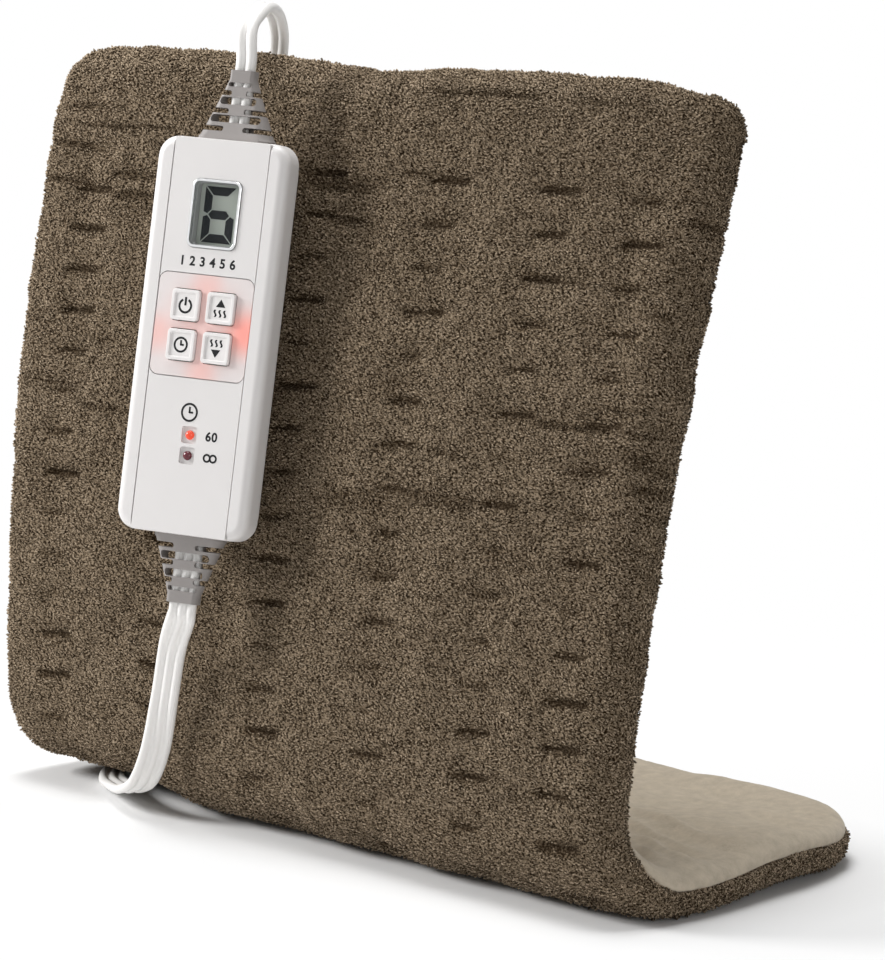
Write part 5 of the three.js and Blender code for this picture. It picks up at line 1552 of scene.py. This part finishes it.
class HEATPAD_OT_display(bpy.types.Operator):
    """Makes the display: rim, clear window, well and the figure"""

    bl_idname = "heatpad.display"
    bl_label = "Display"

    def execute(self, context):
        settings = context.scene.heating_pad.controller
        silver = moulded("bright_rim", (0.74, 0.75, 0.76), 0.16, 0.02, Metallic=1.0)
        rim = slab("display_rim", (0, LCD_Y), (18.3, 22.8), 2.4, -1.5, 0.5, top=0.45)
        combine(rim, slab("hole", (0, LCD_Y), (16.5, 21.0), 1.7, -6, 2))
        soften(rim, 0.15, 2)
        settle(rim, silver, "pad_and_case", ["lcd_bezel"], CASE)
        grey = moulded("well_grey", (0.33, 0.34, 0.33), 0.35, 0.05)
        well = slab("display_well", (0, LCD_Y), (16.5, 21.0), 1.7, -4.6, -0.9)
        combine(well, slab("hole", (0, LCD_Y), (15.7, 20.2), 1.3, -3.6, 2))
        soften(well, 0.1, 1)
        settle(well, grey, "pad_and_case", (), CASE)
        face = slab("lcd_face", (0, LCD_Y), (15.6, 20.1), 1.2, -4.0, -3.4)
        soften(face, 0.1, 1)
        green = moulded("lcd_green", (0.47, 0.51, 0.455), 0.3, 0.03, 300, 0.02)
        settle(face, green, "pad_and_case", ["lcd_glass"], CASE)
        dark = moulded("lcd_dark", (0.006, 0.007, 0.009), 0.5, 0.1, Specular_IOR_Level=0.2)
        figure = printed("lcd_figure", digit_marks(settings.digit, (-0.3, LCD_Y), 11.6, 18.6, 2.9), -3.38)
        settle(figure, dark, "pad_and_case", (), CASE)
        window = slab("display_window", (0, LCD_Y), (16.3, 20.8), 1.6, -0.8, -0.2, top=0.1)
        smooth_piece(window)
        true_faces(window)
        clear = moulded("clear_window", (0.02, 0.03, 0.03), 0.05, 0.01, 200, 0.0, Alpha=0.08)
        settle(window, clear, "pad_and_case", ["lcd_window"], CASE)
        ink = black_ink("legend_black")
        scale = printed_number("heat_scale", "1 2 3 4 5 6", (-0.6, 24.5), 4.3, -0.09)
        settle(scale, ink, "pad_and_case", (), CASE)
        return {"FINISHED"}


class HEATPAD_OT_lamps(bpy.types.Operator):
    """Makes the two indicator lamps and the marks beside them"""

    bl_idname = "heatpad.lamps"
    bl_label = "Lamps"

    def execute(self, context):
        lit = moulded(
            "lamp_lit", (0.6, 0.045, 0.02), 0.15, 0.1, Emission_Color=(1.0, 0.1, 0.025, 1), Emission_Strength=0.32,
        )
        dark = moulded("lamp_dark", (0.115, 0.012, 0.022), 0.15, 0.15)
        for name, node, y, finish in (
            ("timer_lamp", "indicator_on", LAMP_Y[0], lit), ("stay_lamp", "indicator_auto_off", LAMP_Y[1], dark),
        ):
            start_clean()
            bpy.ops.mesh.primitive_uv_sphere_add(segments=32, ring_count=20, radius=1.55 * MM)
            lens = context.object
            lens.name = name
            bpy.ops.object.mode_set(mode="EDIT")
            bpy.ops.mesh.select_all(action="SELECT")
            bpy.ops.transform.resize(value=(1, 1, 0.8), center_override=(0, 0, 0))
            bpy.ops.mesh.bisect(plane_co=(0, 0, -0.3 * MM), plane_no=(0, 0, 1), use_fill=True, clear_inner=True)
            bpy.ops.mesh.select_all(action="SELECT")
            bpy.ops.transform.translate(value=(0, y * MM, -0.75 * MM))
            leave_edit()
            smooth_piece(lens)
            settle(lens, finish, "pad_and_case", [node], CASE)
        ink = black_ink("lamp_marks_black")
        loops = [*ring_marks(7.6, -39.3, 1.15, 0.65), *ring_marks(9.9, -39.3, 1.15, 0.65)]
        marks = printed("lamp_marks", [*clock_marks(-0.8, -25.0, 2.8), *loops], -0.09)
        settle(marks, ink, "pad_and_case", (), CASE)
        minutes = printed_number("lamp_number", "60", (8.4, LAMP_Y[0]), 4.2, -0.09)
        settle(minutes, ink, "pad_and_case", (), CASE)
        return {"FINISHED"}


class HEATPAD_OT_reliefs(bpy.types.Operator):
    """Makes the slotted strain reliefs and the plug"""

    bl_idname = "heatpad.reliefs"
    bl_label = "Strain reliefs and plug"

    def execute(self, context):
        settings = context.scene.heating_pad.controller
        rubber = moulded("grey_rubber", settings.rubber_colour, 0.55, 0.05, 1200, 0.1, Specular_IOR_Level=0.35)
        up = Matrix.Translation((0, CASE_LENGTH / 2 * MM, RELIEF_LEVEL * MM)) @ Matrix.Rotation(radians(-90), 4, "X")
        turned = Matrix.Rotation(pi, 4, "Z") @ Matrix.Translation((0, CASE_LENGTH / 2 * MM, RELIEF_LEVEL * MM))
        down = turned @ Matrix.Rotation(radians(-90), 4, "X")
        for name, place, long, start, end, bore in (
            ("mains_boot", up, 23.5, (27.4, 10), (9.3, 5.2), (7.7, 4.0)),
            ("lead_boot", down, 22.5, (25.6, 10), (11.9, 4.9), (10.4, 3.6)),
        ):
            boot = self.boot(name, long, start, end, bore)
            settle(boot, rubber, "pad_and_case", [name.replace("boot", "relief")], CASE @ place)
        self.plug(context)
        return {"FINISHED"}

    def boot(self, name, long, start, end, bore):
        def size_at(z):
            t = min(max(z / (long - 3), 0), 1)
            shares = (t, 1 - (1 - t) ** 2.4)
            return [a + (b - a) * share for a, b, share in zip(start, end, shares)]

        heights = [0, 1.6, *np.linspace(4, long - 3, 6), long]
        boot = loft(name, [(z, *size_at(z)) for z in heights], 4.2)
        combine(boot, slab("bore", (0, 0), bore, 1.2, -2, long + 2))
        for k in range(6):
            z = 2.9 + k * (long - 5.4) / 6
            high = (1.75 if k % 2 == 0 else 2.5) if k < 5 else 1.4
            half = size_at(z + high / 2)[0] / 2
            if k % 2 == 0:
                for side in (-1, 1):
                    inner = max(bore[0] / 2 - 1.2, half * 0.3)
                    middle = side * (inner + 40) / 2
                    combine(boot, self.cutter(middle, 40 - inner, z, high))
            else:
                combine(boot, self.cutter(0, 2 * half - 2.4, z, high))
        soften(boot, 0.28, 2, 35)
        return boot

    def cutter(self, x, width, z, high):
        """A slot through the boot, with rounded ends."""
        slot = slab("slot", (x, 0), (width, high), high * 0.42, -20, 20, steps=4)
        slot.data.transform(Matrix.Translation((0, 0, (z + high / 2) * MM)) @ Matrix.Rotation(radians(90), 4, "X"))
        return slot

    def plug(self, context):
        white = moulded("plug_white", context.scene.heating_pad.cords.cord_colour, 0.45, 0.03, 900, 0.08)
        stations = [
            (0, 11.3, 7.6), (5, 11.8, 8.1), (9, 12.6, 8.8), (11, 19, 12), (13.5, 23, 15), (28, 23, 15),
            (30, 21.4, 13.4),
        ]
        shell = loft("plug_shell", stations, 2.6)
        for width, side in ((6.9, -1), (8.5, 1)):
            hole = slab("hole", (0, side * 12.7 / 2), (width, 2.1), 0.3, 26.5, 40)
            combine(shell, hole)
        for z in (2.2, 4.4, 6.6):
            for side in (-1, 1):
                combine(shell, self.groove(side * 8.1, z))
        soften(shell, 0.45, 3, 25)
        heading = Vector((cos(PLUG_HEADING), sin(PLUG_HEADING), 0))
        upward = Vector((0, 0, 1))
        axes = Matrix((upward, heading.cross(upward), heading)).transposed().to_4x4()
        place = Matrix.Translation(Vector(PLUG_PLACE) * MM + ORIGIN) @ axes
        settle(shell, white, "pad_and_case", ["plug_body"], place)

    def groove(self, x, z):
        """A finger groove across the plug's tail."""
        return slab("groove", (x, 0), (6.5, 20), 0.4, z, z + 1.1)


# The stage, in metres: where the eye stands and looks, how the floor fades to white and how wide its contact
# shadow is, the span across which the side away from the key light starts, and the lamps
EYE = (1.1621, -0.9994, 0.3604)
LOOK_AT = (0.01446, 0.03404, 0.11887)
FLOOR_SIZE = 12
FLOOR_FADE = (0.2, 0.5)
CONTACT_REACH = 0.035
CONTACT_POWER = 5
SHADED_SIDE = (0.11, 0.17)
LAMP_AIM = (0, 0, 0.1)
STUDIO_LAMPS = (
    ("key", (-0.85, -0.72, 0.65), 0.38), ("fill", (1.7, -0.5, 0.4), 0.9), ("top", (-0.15, 0.1, 1.4), 0.8),
)


class HEATPAD_OT_stage(bpy.types.Operator):
    """Sets the camera, the floor and the soft studio light"""

    bl_idname = "heatpad.stage"
    bl_label = "Stage"

    def execute(self, context):
        settings = context.scene.heating_pad.stage
        scene = context.scene
        scene.view_settings.view_transform = "Standard"
        eye = Vector(EYE) + ORIGIN
        target = Vector(LOOK_AT) + ORIGIN
        start_clean()
        bpy.ops.object.camera_add(location=eye)
        camera = context.object
        camera.rotation_mode = "QUATERNION"
        camera.rotation_quaternion = (target - eye).to_track_quat("-Z", "Y")
        camera.data.lens = settings.lens
        camera.data.sensor_width = 36
        camera.data.clip_start = 0.01
        camera.data.clip_end = 50
        camera.data.dof.use_dof = False
        scene.camera = camera
        self.make_floor(settings)
        self.make_light(settings)
        return {"FINISHED"}

    def make_floor(self, settings):
        start_clean()
        bpy.ops.mesh.primitive_plane_add(size=FLOOR_SIZE)
        floor = bpy.context.object
        floor.name = "floor"
        finish, nodes, shader = new_finish("pale_floor", settings.floor_colour, 0.9, Specular_IOR_Level=0.1)
        tree = finish.node_tree
        white = nodes.new("ShaderNodeEmission")
        white.inputs["Color"].default_value = (1, 1, 1, 1)
        white.inputs["Strength"].default_value = 1
        place = nodes.new("ShaderNodeTexCoord")
        away = nodes.new("ShaderNodeVectorMath")
        away.operation = "LENGTH"
        link(finish, place.outputs["Object"], away.inputs[0])
        apart = nodes.new("ShaderNodeSeparateXYZ")
        link(finish, place.outputs["Object"], apart.inputs[0])
        hidden = nodes.new("ShaderNodeAmbientOcclusion")
        hidden.samples = 16
        hidden.inputs["Distance"].default_value = CONTACT_REACH
        clear = math_node(tree, "POWER", hidden.outputs["AO"], CONTACT_POWER)
        sides = (settings.floor_white, settings.floor_shaded)
        lit = map_range(tree, apart.outputs["X"], SHADED_SIDE, sides, "SMOOTHSTEP")
        near = math_node(tree, "MULTIPLY", clear, lit)
        far = map_range(tree, away.outputs["Value"], FLOOR_FADE, (near, 1), "SMOOTHSTEP")
        mix = nodes.new("ShaderNodeMixShader")
        link(finish, math_node(tree, "MULTIPLY", self.seen_rays(tree), far), mix.inputs["Fac"])
        link(finish, shader.outputs[0], mix.inputs[1])
        link(finish, white.outputs[0], mix.inputs[2])
        link(finish, mix.outputs[0], nodes["Material Output"].inputs["Surface"])
        floor.data.materials.append(finish)

    def seen_rays(self, tree):
        """1 for rays from the camera, mirrors and clear pieces."""
        path = tree.nodes.new("ShaderNodeLightPath")
        total = path.outputs["Is Camera Ray"]
        for name in ("Is Glossy Ray", "Is Transmission Ray"):
            total = math_node(tree, "MAXIMUM", total, path.outputs[name])
        return total

    def make_light(self, settings):
        world = bpy.data.worlds.new("studio")
        bpy.context.scene.world = world
        world.use_nodes = True
        tree = world.node_tree
        sky = tree.nodes["Background"]
        sky.inputs["Color"].default_value = (1, 1, 1, 1)
        sky.inputs["Strength"].default_value = settings.sky
        white = tree.nodes.new("ShaderNodeBackground")
        white.inputs["Color"].default_value = (1, 1, 1, 1)
        white.inputs["Strength"].default_value = 1
        mix = tree.nodes.new("ShaderNodeMixShader")
        tree.links.new(self.seen_rays(tree), mix.inputs["Fac"])
        tree.links.new(sky.outputs[0], mix.inputs[1])
        tree.links.new(white.outputs[0], mix.inputs[2])
        tree.links.new(mix.outputs[0], tree.nodes["World Output"].inputs["Surface"])
        powers = (settings.key_power, settings.fill_power, settings.top_power)
        for (name, place, size), power in zip(STUDIO_LAMPS, powers):
            bpy.ops.object.light_add(type="AREA", location=Vector(place) + ORIGIN)
            lamp = bpy.context.object
            lamp.name = name
            lamp.data.size = size
            lamp.data.energy = power
            lamp.rotation_mode = "QUATERNION"
            aim = Vector(LAMP_AIM) + ORIGIN - lamp.location
            lamp.rotation_quaternion = aim.to_track_quat("-Z", "Y")


class HEATPAD_OT_inner(bpy.types.Operator):
    """Finishes the CAD nodes that show as they are"""

    bl_idname = "heatpad.inner"
    bl_label = "Inner parts"

    def execute(self, context):
        finishes = {}
        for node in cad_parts.values():
            plain = node.data.materials[0]
            if plain.name not in finishes:
                shader = plain.node_tree.nodes["Principled BSDF"]
                colour = tuple(shader.inputs["Base Color"].default_value[:3])
                metal = shader.inputs["Metallic"].default_value
                rough = 0.32 if metal > 0.5 else 0.5
                finishes[plain.name] = moulded(f"{plain.name}_inside", colour, rough, 0.06, Metallic=metal)
            node.data.materials.clear()
            node.data.materials.append(finishes[plain.name])
        return {"FINISHED"}


class HEATPAD_PT_panel(bpy.types.Panel):
    """Lists the steps that dress the heating pad"""

    bl_idname = "HEATPAD_PT_panel"
    bl_label = "Heating pad"
    bl_space_type = "VIEW_3D"
    bl_region_type = "UI"
    bl_category = "Heating pad"

    def draw(self, context):
        for step in STEPS:
            self.layout.operator(step.bl_idname)


STEPS = (
    HEATPAD_OT_stage, HEATPAD_OT_inner, HEATPAD_OT_reliefs, HEATPAD_OT_cords, HEATPAD_OT_pad, HEATPAD_OT_case,
    HEATPAD_OT_keypad, HEATPAD_OT_display, HEATPAD_OT_lamps,
)
CLASSES = (
    PadSettings, ControllerSettings, CordSettings, StageSettings, HeatingPadSettings, *STEPS, HEATPAD_PT_panel,
)


def register():
    for item in CLASSES:
        bpy.utils.register_class(item)
    bpy.types.Scene.heating_pad = PointerProperty(type=HeatingPadSettings)


def unregister():
    del bpy.types.Scene.heating_pad
    for item in reversed(CLASSES):
        bpy.utils.unregister_class(item)


def main():
    register()
    for step in STEPS:
        group, name = step.bl_idname.split(".")
        getattr(getattr(bpy.ops, group), name)()


if __name__ == "__main__":
    main()
